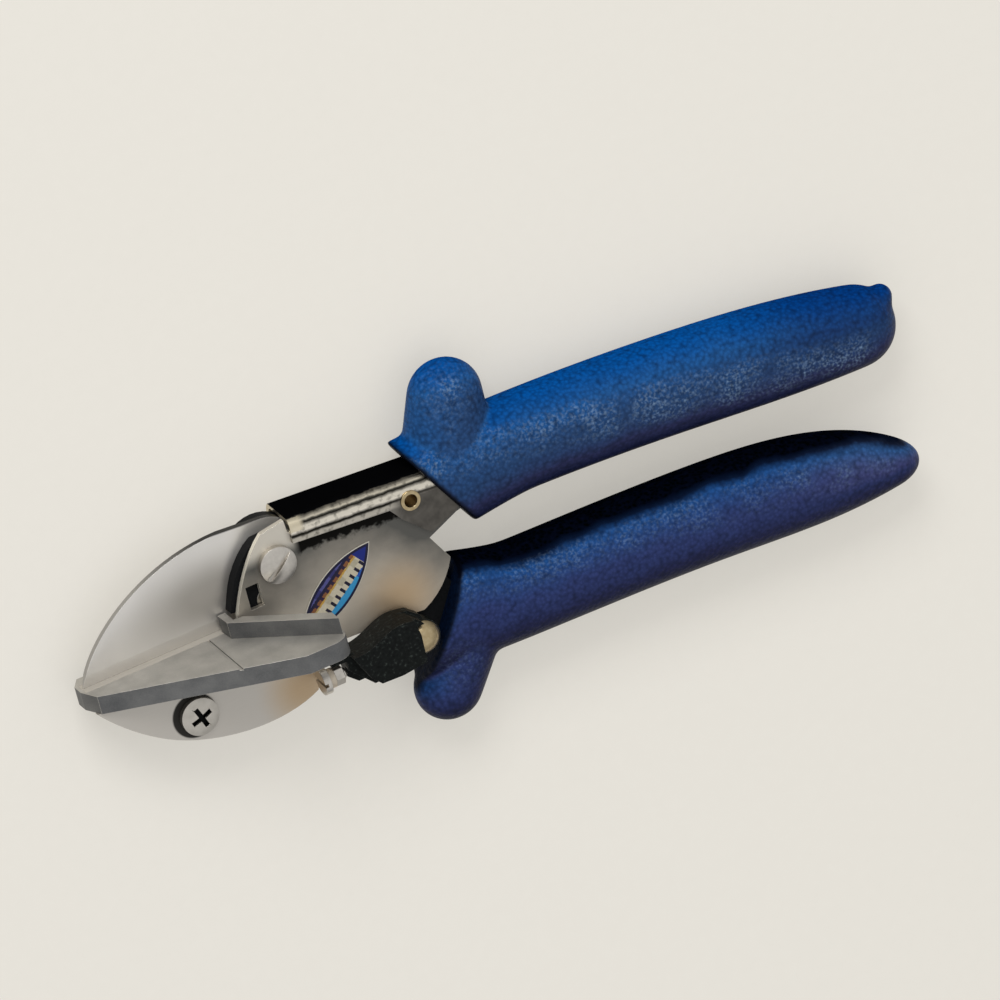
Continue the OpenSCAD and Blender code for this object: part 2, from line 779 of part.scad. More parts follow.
module catch_spacer() {
    color(steel) difference() {
        post(catch_axis, catch_pin_r + 1.6, arm_side, catch_base - 0.05);
        post(catch_axis, catch_pin_r, 0, 30);
    }
}

module thumb_catch() {
    boss_r = catch_head_r + 0.2;
    finger = [[-24.2, 3.4], [-24.2, 4.6], [-19.3, 5.2]];
    base = concat(catch_hump, catch_back, [[0, -3.4]], catch_under,
        [[-17.6, -4.4], [-20, -2.2], [-20.3, 4.4]]);
    // The nose stands against the stop screw, and the finger reaches over its nut
    nose = concat(catch_hump, [for (p = catch_back) p - [1, 0]], catch_under,
        [[-15, -4.8], [-20.3, 0.9], [-20.3, 3.4]], finger);
    pad = concat(catch_hump, [[-2.6, 7.6], [-1.9, 3.4], [-2.2, -3.6]], [[-8.6, -4.4], [-14.2, -4.2],
        [-16.4, -1.8], [-19.4, 4.8]]);
    color(black) difference() {
        union() {
            post(catch_axis, boss_r, catch_base, catch_boss_top - 0.05);
            plate(from_pin(base), catch_base, catch_mid);
            plate(from_pin(nose), catch_mid, catch_step);
            plate(from_pin(pad), catch_step, catch_top);
        }
        post(catch_axis, catch_pin_r + running_gap, -10, 40);
        // Room for the pin's head
        post(catch_axis, catch_head_r + 0.2, catch_boss_top - 0.05, catch_boss_top + 2.6);
    }
}

near_cheek();
far_cheek();
channel();
spacer_rivet();
upper_grip();
mitre_table();
anvil_strip();
mitre_fence();
fence_screws();
jaw_screw();
jaw_nut();
label_plate();
stop_screw();
lock_nut();
pivot_bolt();
pivot_nut();
pivot_washers();
pivot_bush();
blade();
blade_clamp();
blade_screws();
blade_arm();
lower_grip();
upper_spring_seat();
lower_spring_seat();
return_spring();
catch_pin();
catch_spacer();
thumb_catch();
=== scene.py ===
"""Mitre shears lying on their side: finishes, sleeved grips, label, spring, light and camera.
Lengths are in metres, in the frame of the CAD model: X along the closed cutting edge towards the
handles, Y up from the anvil in the plane of the cut, Z out of that plane towards the table."""
import json
import math

import bmesh
import bpy
from mathutils import Matrix, Vector


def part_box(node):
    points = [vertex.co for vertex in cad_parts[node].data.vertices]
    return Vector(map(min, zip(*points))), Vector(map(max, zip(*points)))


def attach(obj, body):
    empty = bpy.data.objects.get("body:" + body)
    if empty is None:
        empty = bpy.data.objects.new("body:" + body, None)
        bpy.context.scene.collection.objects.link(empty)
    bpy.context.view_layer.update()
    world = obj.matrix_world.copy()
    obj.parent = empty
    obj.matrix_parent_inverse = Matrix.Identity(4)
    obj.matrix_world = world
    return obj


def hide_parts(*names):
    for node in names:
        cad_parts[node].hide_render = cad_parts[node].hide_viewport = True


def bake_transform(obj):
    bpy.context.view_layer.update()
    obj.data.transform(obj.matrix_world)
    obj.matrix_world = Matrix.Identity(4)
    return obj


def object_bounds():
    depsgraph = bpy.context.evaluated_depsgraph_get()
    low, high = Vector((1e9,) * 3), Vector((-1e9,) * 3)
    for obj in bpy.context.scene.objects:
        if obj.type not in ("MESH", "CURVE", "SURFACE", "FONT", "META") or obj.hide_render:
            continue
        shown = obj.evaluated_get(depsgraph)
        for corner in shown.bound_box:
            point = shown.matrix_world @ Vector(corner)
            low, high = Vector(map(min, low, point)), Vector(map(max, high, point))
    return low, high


MM = 0.001

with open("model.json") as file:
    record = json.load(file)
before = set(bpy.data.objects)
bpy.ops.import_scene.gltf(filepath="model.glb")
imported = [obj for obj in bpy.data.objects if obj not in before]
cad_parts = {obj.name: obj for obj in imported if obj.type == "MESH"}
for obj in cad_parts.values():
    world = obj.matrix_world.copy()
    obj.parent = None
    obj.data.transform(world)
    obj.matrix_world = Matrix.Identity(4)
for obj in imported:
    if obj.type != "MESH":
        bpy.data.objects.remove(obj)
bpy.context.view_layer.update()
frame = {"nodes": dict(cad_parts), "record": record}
scene = bpy.context.scene
body_of_node = {n: b for b, ns in frame["record"]["behaviour"]["bodies"].items() for n in ns}
slot_of_node = {s["node"]: s["material_slot"] for s in frame["record"]["subparts"]}


def middle_of(node):
    """The middle of a CAD node's box, in the plane of the handles."""
    low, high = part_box(node)
    return Vector(((low.x + high.x) / 2, (low.y + high.y) / 2, 0))


# ---- Node helpers ----

def linear(hex_colour):
    """An sRGB hex colour as linear red, green, blue and alpha."""
    parts = [int(hex_colour[i:i + 2], 16) / 255 for i in (1, 3, 5)]
    return [p / 12.92 if p <= 0.04045 else ((p + 0.055) / 1.055) ** 2.4 for p in parts] + [1.0]


def feed(node, inputs):
    """Gives each named input of a node its value, or links the socket that feeds it. A node there
    stands for its first output."""
    for name, value in inputs.items():
        if isinstance(value, bpy.types.Node):
            value = value.outputs[0]
        if isinstance(value, bpy.types.NodeSocket):
            node.id_data.links.new(value, node.inputs[name])
        else:
            node.inputs[name].default_value = value


def add(tree, kind, inputs=None, **settings):
    """A node with its settings and what feeds its inputs."""
    node = tree.nodes.new(kind)
    for name, value in settings.items():
        setattr(node, name, value)
    feed(node, inputs or {})
    return node


def finish_named(name, **fixed):
    """A material with one Principled shader, and the object coordinates its patterns use."""
    made = bpy.data.materials.new(name)
    made.use_nodes = True
    tree = made.node_tree
    tree.nodes.clear()
    shader = add(tree, "ShaderNodeBsdfPrincipled", {k.replace("_", " "): v for k, v in fixed.items()})
    add(tree, "ShaderNodeOutputMaterial", {"Surface": shader.outputs["BSDF"]})
    place = add(tree, "ShaderNodeTexCoord").outputs["Object"]
    return made, tree, shader, place


# Inputs of a Mix node for colours: factor, first and second colour
MIX_FACTOR, MIX_A, MIX_B = 0, 6, 7
MIX_COLOUR = 2


def marked(tree, shader, colour, marks, roughness, strength, depth):
    """Gives a shader its colour, and the roughness and the relief, in millimetres, that marks leave."""
    rough = add(tree, "ShaderNodeMapRange", {"Value": marks, "To Min": roughness[0], "To Max": roughness[1]})
    bump = add(tree, "ShaderNodeBump", {"Height": marks, "Strength": strength, "Distance": depth * MM})
    feed(shader, {"Base Color": colour.outputs[MIX_COLOUR], "Roughness": rough, "Normal": bump})


# ---- Finishes ----

def polished_blade_steel():
    """Hardened tool steel, ground along its length and polished: bright, with faint scratches, painted
    reflections and shade in soft clouds, and painted dark shade along its back."""
    made, tree, shader, place = finish_named("Polished tool steel", Metallic=0.75)
    # Scratches are 0.25 mm apart and some 12 mm long, coarser than real ones so that they show
    along = add(tree, "ShaderNodeMapping", {"Vector": place, "Scale": (80, 4000, 4000)})
    scratches = add(tree, "ShaderNodeTexNoise", {"Vector": along, "Scale": 1.0, "Detail": 3.0})
    # Painted reflections in soft clouds, some 14 mm across, and a painted shade, an oval 40 mm by 20, in
    # front of the clamp
    clouds = add(tree, "ShaderNodeTexNoise", {"Vector": place, "Scale": 70.0, "Detail": 1.0})
    squeezed = add(tree, "ShaderNodeVectorMath", {0: place, 1: (1, 2, 0)}, operation="MULTIPLY")
    away = add(tree, "ShaderNodeVectorMath", {0: squeezed, 1: (0.006, 0.020, 0)}, operation="DISTANCE")
    shade = add(tree, "ShaderNodeMapRange", {"Value": away.outputs["Value"], "From Min": 0.004,
        "From Max": 0.025, "To Min": 0.82, "To Max": 0.0}, interpolation_type="SMOOTHSTEP")
    cloudy = add(tree, "ShaderNodeMath", {0: clouds, 1: 0.35, 2: shade}, operation="MULTIPLY_ADD")
    steel = add(tree, "ShaderNodeMix", {MIX_FACTOR: cloudy, MIX_A: linear("#E4E1DC"),
        MIX_B: linear("#A8A49E")}, data_type="RGBA")
    # Painted dark shade covers the back's narrow face, heavier to the rear, and spreads a little down the
    # side at the heel
    outward = add(tree, "ShaderNodeSeparateXYZ", {0: add(tree, "ShaderNodeTexCoord").outputs["Normal"]})
    across = add(tree, "ShaderNodeMath", {0: outward.outputs["Z"]}, operation="ABSOLUTE")
    narrow = add(tree, "ShaderNodeMapRange", {"Value": across, "From Min": 0.4, "From Max": 0.6,
        "To Min": 1.0, "To Max": 0.0})
    at = add(tree, "ShaderNodeSeparateXYZ", {0: place})
    spread = add(tree, "ShaderNodeMapRange", {"Value": at.outputs["X"], "From Min": 0.0, "From Max": 0.018,
        "To Min": 0.0243, "To Max": 0.0229})
    above = add(tree, "ShaderNodeMath", {0: at.outputs["Y"], 1: spread}, operation="SUBTRACT")
    side = add(tree, "ShaderNodeMapRange", {"Value": above, "From Min": 0.0, "From Max": 0.0004})
    thick = add(tree, "ShaderNodeMapRange", {"Value": at.outputs["X"], "From Min": -0.012, "From Max": 0.008,
        "To Min": 0.5, "To Max": 1.0})
    on_back = add(tree, "ShaderNodeMath", {0: narrow, 1: thick}, operation="MULTIPLY")
    back_shade = add(tree, "ShaderNodeMath", {0: on_back, 1: side}, operation="MAXIMUM")
    colour = add(tree, "ShaderNodeMix", {MIX_FACTOR: back_shade, MIX_A: steel.outputs[MIX_COLOUR],
        MIX_B: linear("#161513")}, data_type="RGBA")
    marked(tree, shader, colour, scratches, roughness=(0.30, 0.42), strength=0.12, depth=0.02)
    return made


# The channel's fall to the rear and its upper front corner, the jaw screw's axis, and the middle of the
# painted shadow beside it
CHANNEL_FALL = math.radians(4.2)
CHANNEL_FRONT = Vector((0.028, 0.023, 0))
JAW_SCREW = middle_of("jaw_screw")
CRESCENT_CENTRE = JAW_SCREW + Vector((-0.0009, 0.00025, 0.006))


def satin_sheet_steel():
    """Pressed sheet steel, zinc plated and wiped: satin grey, warmer in two patches, with painted shade under
    the channel, painted black shadow at its edge and beside the jaw screw, and painted highlights at the
    front."""
    made, tree, shader, place = finish_named("Zinc-plated sheet steel", Metallic=0.7)
    # Brushing marks are 0.4 mm apart and some 7 mm long, and the stains 8 mm across
    along = add(tree, "ShaderNodeMapping", {"Vector": place, "Scale": (150, 2500, 2500)})
    brushing = add(tree, "ShaderNodeTexNoise", {"Vector": along, "Scale": 1.0, "Detail": 2.0})
    clouds = add(tree, "ShaderNodeTexNoise", {"Vector": place, "Scale": 130.0, "Detail": 3.0})
    # Painted shade makes it darker under the channel and towards the rear; lighter and browner towards the
    # catch
    level = add(tree, "ShaderNodeSeparateXYZ", {0: place})
    cloudy = add(tree, "ShaderNodeMath", {0: clouds, 1: 0.012, 2: level.outputs["Y"]},
        operation="MULTIPLY_ADD")
    raised = add(tree, "ShaderNodeMapRange", {"Value": cloudy, "From Min": -0.003, "From Max": 0.021})
    rear = add(tree, "ShaderNodeMapRange", {"Value": level.outputs["X"], "From Min": 0.046,
        "From Max": 0.060, "To Max": 0.5}, interpolation_type="SMOOTHSTEP")
    darker = add(tree, "ShaderNodeMath", {0: raised, 1: rear}, operation="ADD", use_clamp=True)
    grey = add(tree, "ShaderNodeMix", {MIX_FACTOR: darker, MIX_A: linear("#C6BCAC"),
        MIX_B: linear("#575652")}, data_type="RGBA")
    # The jaw under the table is lighter than the cheek behind the pivot
    jaw = add(tree, "ShaderNodeMapRange", {"Value": level.outputs["X"], "From Min": 0.008,
        "From Max": 0.022, "To Min": 1.0, "To Max": 0.0}, interpolation_type="SMOOTHSTEP")
    low = add(tree, "ShaderNodeMapRange", {"Value": level.outputs["Y"], "From Min": -0.006,
        "From Max": 0.004, "To Min": 1.0, "To Max": 0.0})
    on_jaw = add(tree, "ShaderNodeMath", {0: jaw, 1: low}, operation="MULTIPLY")
    lighter = add(tree, "ShaderNodeMix", {MIX_FACTOR: on_jaw, MIX_A: grey.outputs[MIX_COLOUR],
        MIX_B: linear("#BDB8B0")}, data_type="RGBA")
    # So is the cheek's nose, in front of the channel, with a painted highlight
    nose = add(tree, "ShaderNodeMapRange", {"Value": level.outputs["Y"], "From Min": 0.0138,
        "From Max": 0.0178, "To Max": 0.9}, interpolation_type="SMOOTHSTEP")
    ahead_of_fold = add(tree, "ShaderNodeMapRange", {"Value": level.outputs["X"], "From Min": 0.0275,
        "From Max": 0.0305, "To Min": 1.0, "To Max": 0.0}, interpolation_type="SMOOTHSTEP")
    on_nose = add(tree, "ShaderNodeMath", {0: nose, 1: ahead_of_fold}, operation="MULTIPLY")
    paler = add(tree, "ShaderNodeMix", {MIX_FACTOR: on_nose, MIX_A: lighter.outputs[MIX_COLOUR],
        MIX_B: linear("#D2CCC0")}, data_type="RGBA")
    # Two warm patches: one above the catch, one at the rear of the jaw's belly
    behind = add(tree, "ShaderNodeVectorMath", {0: place, 1: (0.049, -0.008, 0.006)}, operation="DISTANCE")
    below = add(tree, "ShaderNodeVectorMath", {0: place, 1: (0.0205, -0.0195, 0.006)}, operation="DISTANCE")
    nearest = add(tree, "ShaderNodeMath", {0: behind.outputs["Value"], 1: below.outputs["Value"]},
        operation="MINIMUM")
    warm = add(tree, "ShaderNodeMapRange", {"Value": nearest, "From Min": 0.001,
        "From Max": 0.013, "To Min": 0.85, "To Max": 0.0}, interpolation_type="SMOOTHSTEP")
    tanned = add(tree, "ShaderNodeMix", {MIX_FACTOR: warm, MIX_A: paler.outputs[MIX_COLOUR],
        MIX_B: linear("#B49A78")}, data_type="RGBA")
    # Painted shadow under the channel's lower edge, ragged by 2 mm
    turned = add(tree, "ShaderNodeMapping", {"Vector": place, "Location": CHANNEL_FRONT,
        "Rotation": (0, 0, -CHANNEL_FALL)}, vector_type="TEXTURE")
    local = add(tree, "ShaderNodeSeparateXYZ", {0: turned})
    ragged = add(tree, "ShaderNodeTexNoise", {"Vector": place, "Scale": 600.0, "Detail": 2.0})
    under = add(tree, "ShaderNodeMath", {0: ragged, 1: 0.0042, 2: local.outputs["Y"]},
        operation="MULTIPLY_ADD")
    channel_shadow = add(tree, "ShaderNodeMapRange", {"Value": under, "From Min": -0.0079, "From Max": -0.0068})
    on_near_part = add(tree, "ShaderNodeMapRange", {"Value": level.outputs["X"], "From Min": 0.0275,
        "From Max": 0.029})
    channel_shadowed = add(tree, "ShaderNodeMath", {0: channel_shadow, 1: on_near_part}, operation="MULTIPLY")
    # A painted black shadow on one side of the screw: a disc 11 mm across, set off from its axis, that the
    # head hides but for a crescent
    ring = add(tree, "ShaderNodeVectorMath", {0: place, 1: CRESCENT_CENTRE}, operation="DISTANCE")
    crescent = add(tree, "ShaderNodeMapRange", {"Value": ring.outputs["Value"], "From Min": 0.0054,
        "From Max": 0.0058, "To Min": 0.95, "To Max": 0.0})
    black = add(tree, "ShaderNodeMath", {0: channel_shadowed, 1: crescent}, operation="MAXIMUM")
    colour = add(tree, "ShaderNodeMix", {MIX_FACTOR: black, MIX_A: tanned.outputs[MIX_COLOUR],
        MIX_B: linear("#0E0D0B")}, data_type="RGBA")
    # A painted highlight makes the sheared edge that faces the front bright
    ahead = add(tree, "ShaderNodeSeparateXYZ", {0: add(tree, "ShaderNodeTexCoord").outputs["Normal"]})
    front_edge_highlight = add(tree, "ShaderNodeMapRange", {"Value": ahead.outputs["X"], "From Min": -0.4,
        "From Max": -0.7})
    edged = add(tree, "ShaderNodeMix", {MIX_FACTOR: front_edge_highlight, MIX_A: colour.outputs[MIX_COLOUR],
        MIX_B: linear("#F4EEDF")}, data_type="RGBA")
    marked(tree, shader, edged, brushing, roughness=(0.36, 0.54), strength=0.15, depth=0.02)
    # The painted shadows are duller than the plate
    shine = add(tree, "ShaderNodeMapRange", {"Value": black, "To Min": 0.5, "To Max": 0.1})
    feed(shader, {"Specular IOR Level": shine})
    return made


def chromed_channel():
    """Folded sheet, chrome plated: painted reflections in bright bands along the fold and a black top, a
    painted highlight at the front, and a dull grey flank round the rivet."""
    made, tree, shader, place = finish_named("Chrome plate with black top", Specular_IOR_Level=0.0)
    # Height below the channel's top edge, which falls to the rear, in millimetres
    turned = add(tree, "ShaderNodeMapping", {"Vector": place, "Location": CHANNEL_FRONT,
        "Rotation": (0, 0, -CHANNEL_FALL)}, vector_type="TEXTURE")
    local = add(tree, "ShaderNodeSeparateXYZ", {0: turned})
    depth = add(tree, "ShaderNodeMath", {0: local.outputs["Y"], 1: -1 / MM}, operation="MULTIPLY")
    # The bands are painted reflections; they waver and break up every 2.4 mm along the fold, as reflections
    # in drawn sheet do
    waver = add(tree, "ShaderNodeTexNoise", {"Vector": place, "Scale": 420.0, "Detail": 2.0})
    wavy = add(tree, "ShaderNodeMath", {0: waver, 1: 0.7, 2: depth}, operation="MULTIPLY_ADD")
    on_scale = add(tree, "ShaderNodeMath", {0: wavy, 1: 0.1}, operation="MULTIPLY")
    bands = add(tree, "ShaderNodeValToRGB", {0: on_scale})
    stops = bands.color_ramp.elements
    stops[0].color, stops[1].color = linear("#040405"), linear("#77736D")
    # Positions are centimetres below the top edge; the black top and the black lines are painted dark
    # reflections
    for at, tint in ((0.075, "#060607"), (0.11, "#8E887C"), (0.17, "#C6BEAC"), (0.20, "#4A4842"),
                     (0.235, "#14130F"), (0.27, "#8D887E"), (0.31, "#DED7C8"), (0.42, "#E6DFD0"),
                     (0.46, "#8E8981"), (0.485, "#15140F"), (0.525, "#2E2C28"), (0.56, "#B5AFA3"),
                     (0.64, "#BDB7AB"), (0.70, "#827E77")):
        stops.new(at).color = linear(tint)
    # Below the painted black top, the sheet is chrome
    chrome_below_top = add(tree, "ShaderNodeMapRange", {"Value": wavy, "From Min": 0.75, "From Max": 0.95})
    # Dull spots of 1.5 mm where the plating has clouded
    spots = add(tree, "ShaderNodeTexNoise", {"Vector": place, "Scale": 700.0, "Detail": 3.0})
    clouded = add(tree, "ShaderNodeMapRange", {"Value": spots, "From Min": 0.52,
        "From Max": 0.75, "To Max": 0.7})
    on_chrome = add(tree, "ShaderNodeMath", {0: clouded, 1: chrome_below_top}, operation="MULTIPLY")
    spotted = add(tree, "ShaderNodeMix", {MIX_FACTOR: on_chrome, MIX_A: bands,
        MIX_B: linear("#37342E")}, data_type="RGBA")
    # Behind the fold's straight flank the sheet is dull grey round the rivet
    flank = add(tree, "ShaderNodeMapRange", {"Value": local.outputs["X"], "From Min": 0.0235,
        "From Max": 0.029}, interpolation_type="SMOOTHSTEP")
    low = add(tree, "ShaderNodeMapRange", {"Value": depth, "From Min": 4.2, "From Max": 5.2})
    dull = add(tree, "ShaderNodeMath", {0: flank, 1: low}, operation="MULTIPLY")
    blotch = add(tree, "ShaderNodeMix", {MIX_FACTOR: waver, MIX_A: linear("#3A3835"),
        MIX_B: linear("#6C6862")}, data_type="RGBA")
    colour = add(tree, "ShaderNodeMix", {MIX_FACTOR: dull, MIX_A: spotted.outputs[MIX_COLOUR],
        MIX_B: blotch.outputs[MIX_COLOUR]}, data_type="RGBA")
    # A painted highlight on the front 3 mm, pale from 0.9 to 3.9 mm down
    front = add(tree, "ShaderNodeMapRange", {"Value": local.outputs["X"], "From Min": 0.0022,
        "From Max": 0.0034, "To Min": 0.85, "To Max": 0.0})
    beside = add(tree, "ShaderNodeMath", {0: wavy, 1: 2.4, 2: 1.5}, operation="COMPARE")
    front_highlight = add(tree, "ShaderNodeMath", {0: front, 1: beside}, operation="MULTIPLY")
    wear_and_highlight = add(tree, "ShaderNodeMix", {MIX_FACTOR: front_highlight, MIX_A: colour.outputs[MIX_COLOUR],
        MIX_B: linear("#DDD2B8")}, data_type="RGBA")
    rough = add(tree, "ShaderNodeMapRange", {"Value": waver, "To Min": 0.22, "To Max": 0.4})
    feed(shader, {"Metallic": chrome_below_top, "Base Color": wear_and_highlight.outputs[MIX_COLOUR], "Roughness": rough})
    return made


def grey_casting():
    """Die-cast zinc alloy, tumbled and matte: painted light makes it pale on top, and painted shade dark at
    the sides.
    """
    made, tree, shader, place = finish_named("Die-cast zinc alloy", Metallic=0.75)
    # Grain of 0.35 mm and soft stains of 6 mm
    grain = add(tree, "ShaderNodeTexNoise", {"Vector": place, "Scale": 2800.0, "Detail": 2.0})
    stains = add(tree, "ShaderNodeTexNoise", {"Vector": place, "Scale": 160.0, "Detail": 3.0})
    both = add(tree, "ShaderNodeMath", {0: grain, 1: 0.45, 2: stains}, operation="MULTIPLY_ADD")
    tone = add(tree, "ShaderNodeMapRange", {"Value": both, "From Min": 0.45, "From Max": 1.0})
    # Painted light and shade: lighter where a face turns up, darker on the sides
    facing = add(tree, "ShaderNodeSeparateXYZ", {0: add(tree, "ShaderNodeTexCoord").outputs["Normal"]})
    top = add(tree, "ShaderNodeMapRange", {"Value": facing.outputs["Y"], "From Min": 0.5, "From Max": 0.9})
    side = add(tree, "ShaderNodeMix", {MIX_FACTOR: tone, MIX_A: linear("#5A5B5C"),
        MIX_B: linear("#7A7A79")}, data_type="RGBA")
    lit_top = add(tree, "ShaderNodeMix", {MIX_FACTOR: tone, MIX_A: linear("#A5A29C"),
        MIX_B: linear("#C4C1BA")}, data_type="RGBA")
    colour = add(tree, "ShaderNodeMix", {MIX_FACTOR: top, MIX_A: side.outputs[MIX_COLOUR],
        MIX_B: lit_top.outputs[MIX_COLOUR]}, data_type="RGBA")
    marked(tree, shader, colour, grain, roughness=(0.42, 0.62), strength=0.35, depth=0.05)
    return made


def rubbed_edge(name, bright, dull, roughness):
    """An edge that hands and work have polished bright, brighter still as a painted highlight, with nicks of
    1 mm.
    """
    made, tree, shader, place = finish_named(name, Metallic=1.0, Roughness=roughness)
    nicks = add(tree, "ShaderNodeTexNoise", {"Vector": place, "Scale": 900.0, "Detail": 2.0})
    colour = add(tree, "ShaderNodeMix", {MIX_FACTOR: nicks, MIX_A: linear(bright),
        MIX_B: linear(dull)}, data_type="RGBA")
    feed(shader, {"Base Color": colour.outputs[MIX_COLOUR]})
    return made


def turned_metal(name, light, dark, roughness):
    """A turned or headed fastener: plated metal with faint handling marks of 1 mm."""
    made, tree, shader, place = finish_named(name, Metallic=1.0)
    marks = add(tree, "ShaderNodeTexNoise", {"Vector": place, "Scale": 1000.0, "Detail": 3.0})
    colour = add(tree, "ShaderNodeMix", {MIX_FACTOR: marks, MIX_A: linear(light),
        MIX_B: linear(dark)}, data_type="RGBA")
    marked(tree, shader, colour, marks, roughness, strength=0.1, depth=0.02)
    return made


def shaded_recess_screw():
    """The jaw screw: a plated head, scuffed in patches of 2 mm, with painted black shade in its cross recess.
    """
    made, tree, shader, place = finish_named("Zinc plate with a shaded recess", Metallic=0.9, Roughness=0.32)
    wear_and_sparkle = add(tree, "ShaderNodeTexNoise", {"Vector": place, "Scale": 500.0, "Detail": 2.0})
    plate = add(tree, "ShaderNodeMix", {MIX_FACTOR: wear_and_sparkle, MIX_A: linear("#CAC5BC"),
        MIX_B: linear("#AEA9A0")}, data_type="RGBA")
    # Painted shade: dark below 7.75 mm and within 3 mm of the screw's axis, which is the recess
    level = add(tree, "ShaderNodeSeparateXYZ", {0: place})
    deep = add(tree, "ShaderNodeMath", {0: level.outputs["Z"], 1: 0.00775}, operation="LESS_THAN")
    flat = add(tree, "ShaderNodeCombineXYZ", {0: level.outputs["X"], 1: level.outputs["Y"]})
    reach = add(tree, "ShaderNodeVectorMath", {0: flat, 1: JAW_SCREW}, operation="DISTANCE")
    inside = add(tree, "ShaderNodeMath", {0: reach.outputs["Value"], 1: 0.003}, operation="LESS_THAN")
    recess = add(tree, "ShaderNodeMath", {0: deep, 1: inside}, operation="MULTIPLY")
    colour = add(tree, "ShaderNodeMix", {MIX_FACTOR: recess, MIX_A: plate.outputs[MIX_COLOUR],
        MIX_B: linear("#050505")}, data_type="RGBA")
    feed(shader, {"Base Color": colour.outputs[MIX_COLOUR]})
    return made


def textured_black(name, colour_low, colour_high, grain_mm, relief_mm, roughness, glint="#17181A"):
    """A black coat with a grain: stoved paint on the arm, and on the catch moulded nylon whose high points
    are scuffed pale and carry painted glints."""
    made, tree, shader, place = finish_named(name, Roughness=roughness, Specular_IOR_Level=0.06)
    grain = add(tree, "ShaderNodeTexNoise", {"Vector": place, "Scale": 1 / (grain_mm * MM), "Detail": 2.0})
    coat = add(tree, "ShaderNodeMix", {MIX_FACTOR: grain, MIX_A: linear(colour_low),
        MIX_B: linear(colour_high)}, data_type="RGBA")
    # Painted glints on the grain's high points, which are also scuffed pale
    high = add(tree, "ShaderNodeMapRange", {"Value": grain, "From Min": 0.6, "From Max": 0.8, "To Max": 0.8})
    colour = add(tree, "ShaderNodeMix", {MIX_FACTOR: high, MIX_A: coat.outputs[MIX_COLOUR],
        MIX_B: linear(glint)}, data_type="RGBA")
    bump = add(tree, "ShaderNodeBump", {"Height": grain, "Strength": 0.6, "Distance": relief_mm * MM})
    feed(shader, {"Base Color": colour.outputs[MIX_COLOUR], "Normal": bump})
    return made


# Where each sleeve's slanted mouth crosses the plane of the handles, in millimetres, and its turn
UPPER_MOUTH, UPPER_TURN = (65.5, 14.0), math.radians(29.3)
LOWER_MOUTH, LOWER_TURN = (58.2, -17.6), math.radians(-32)


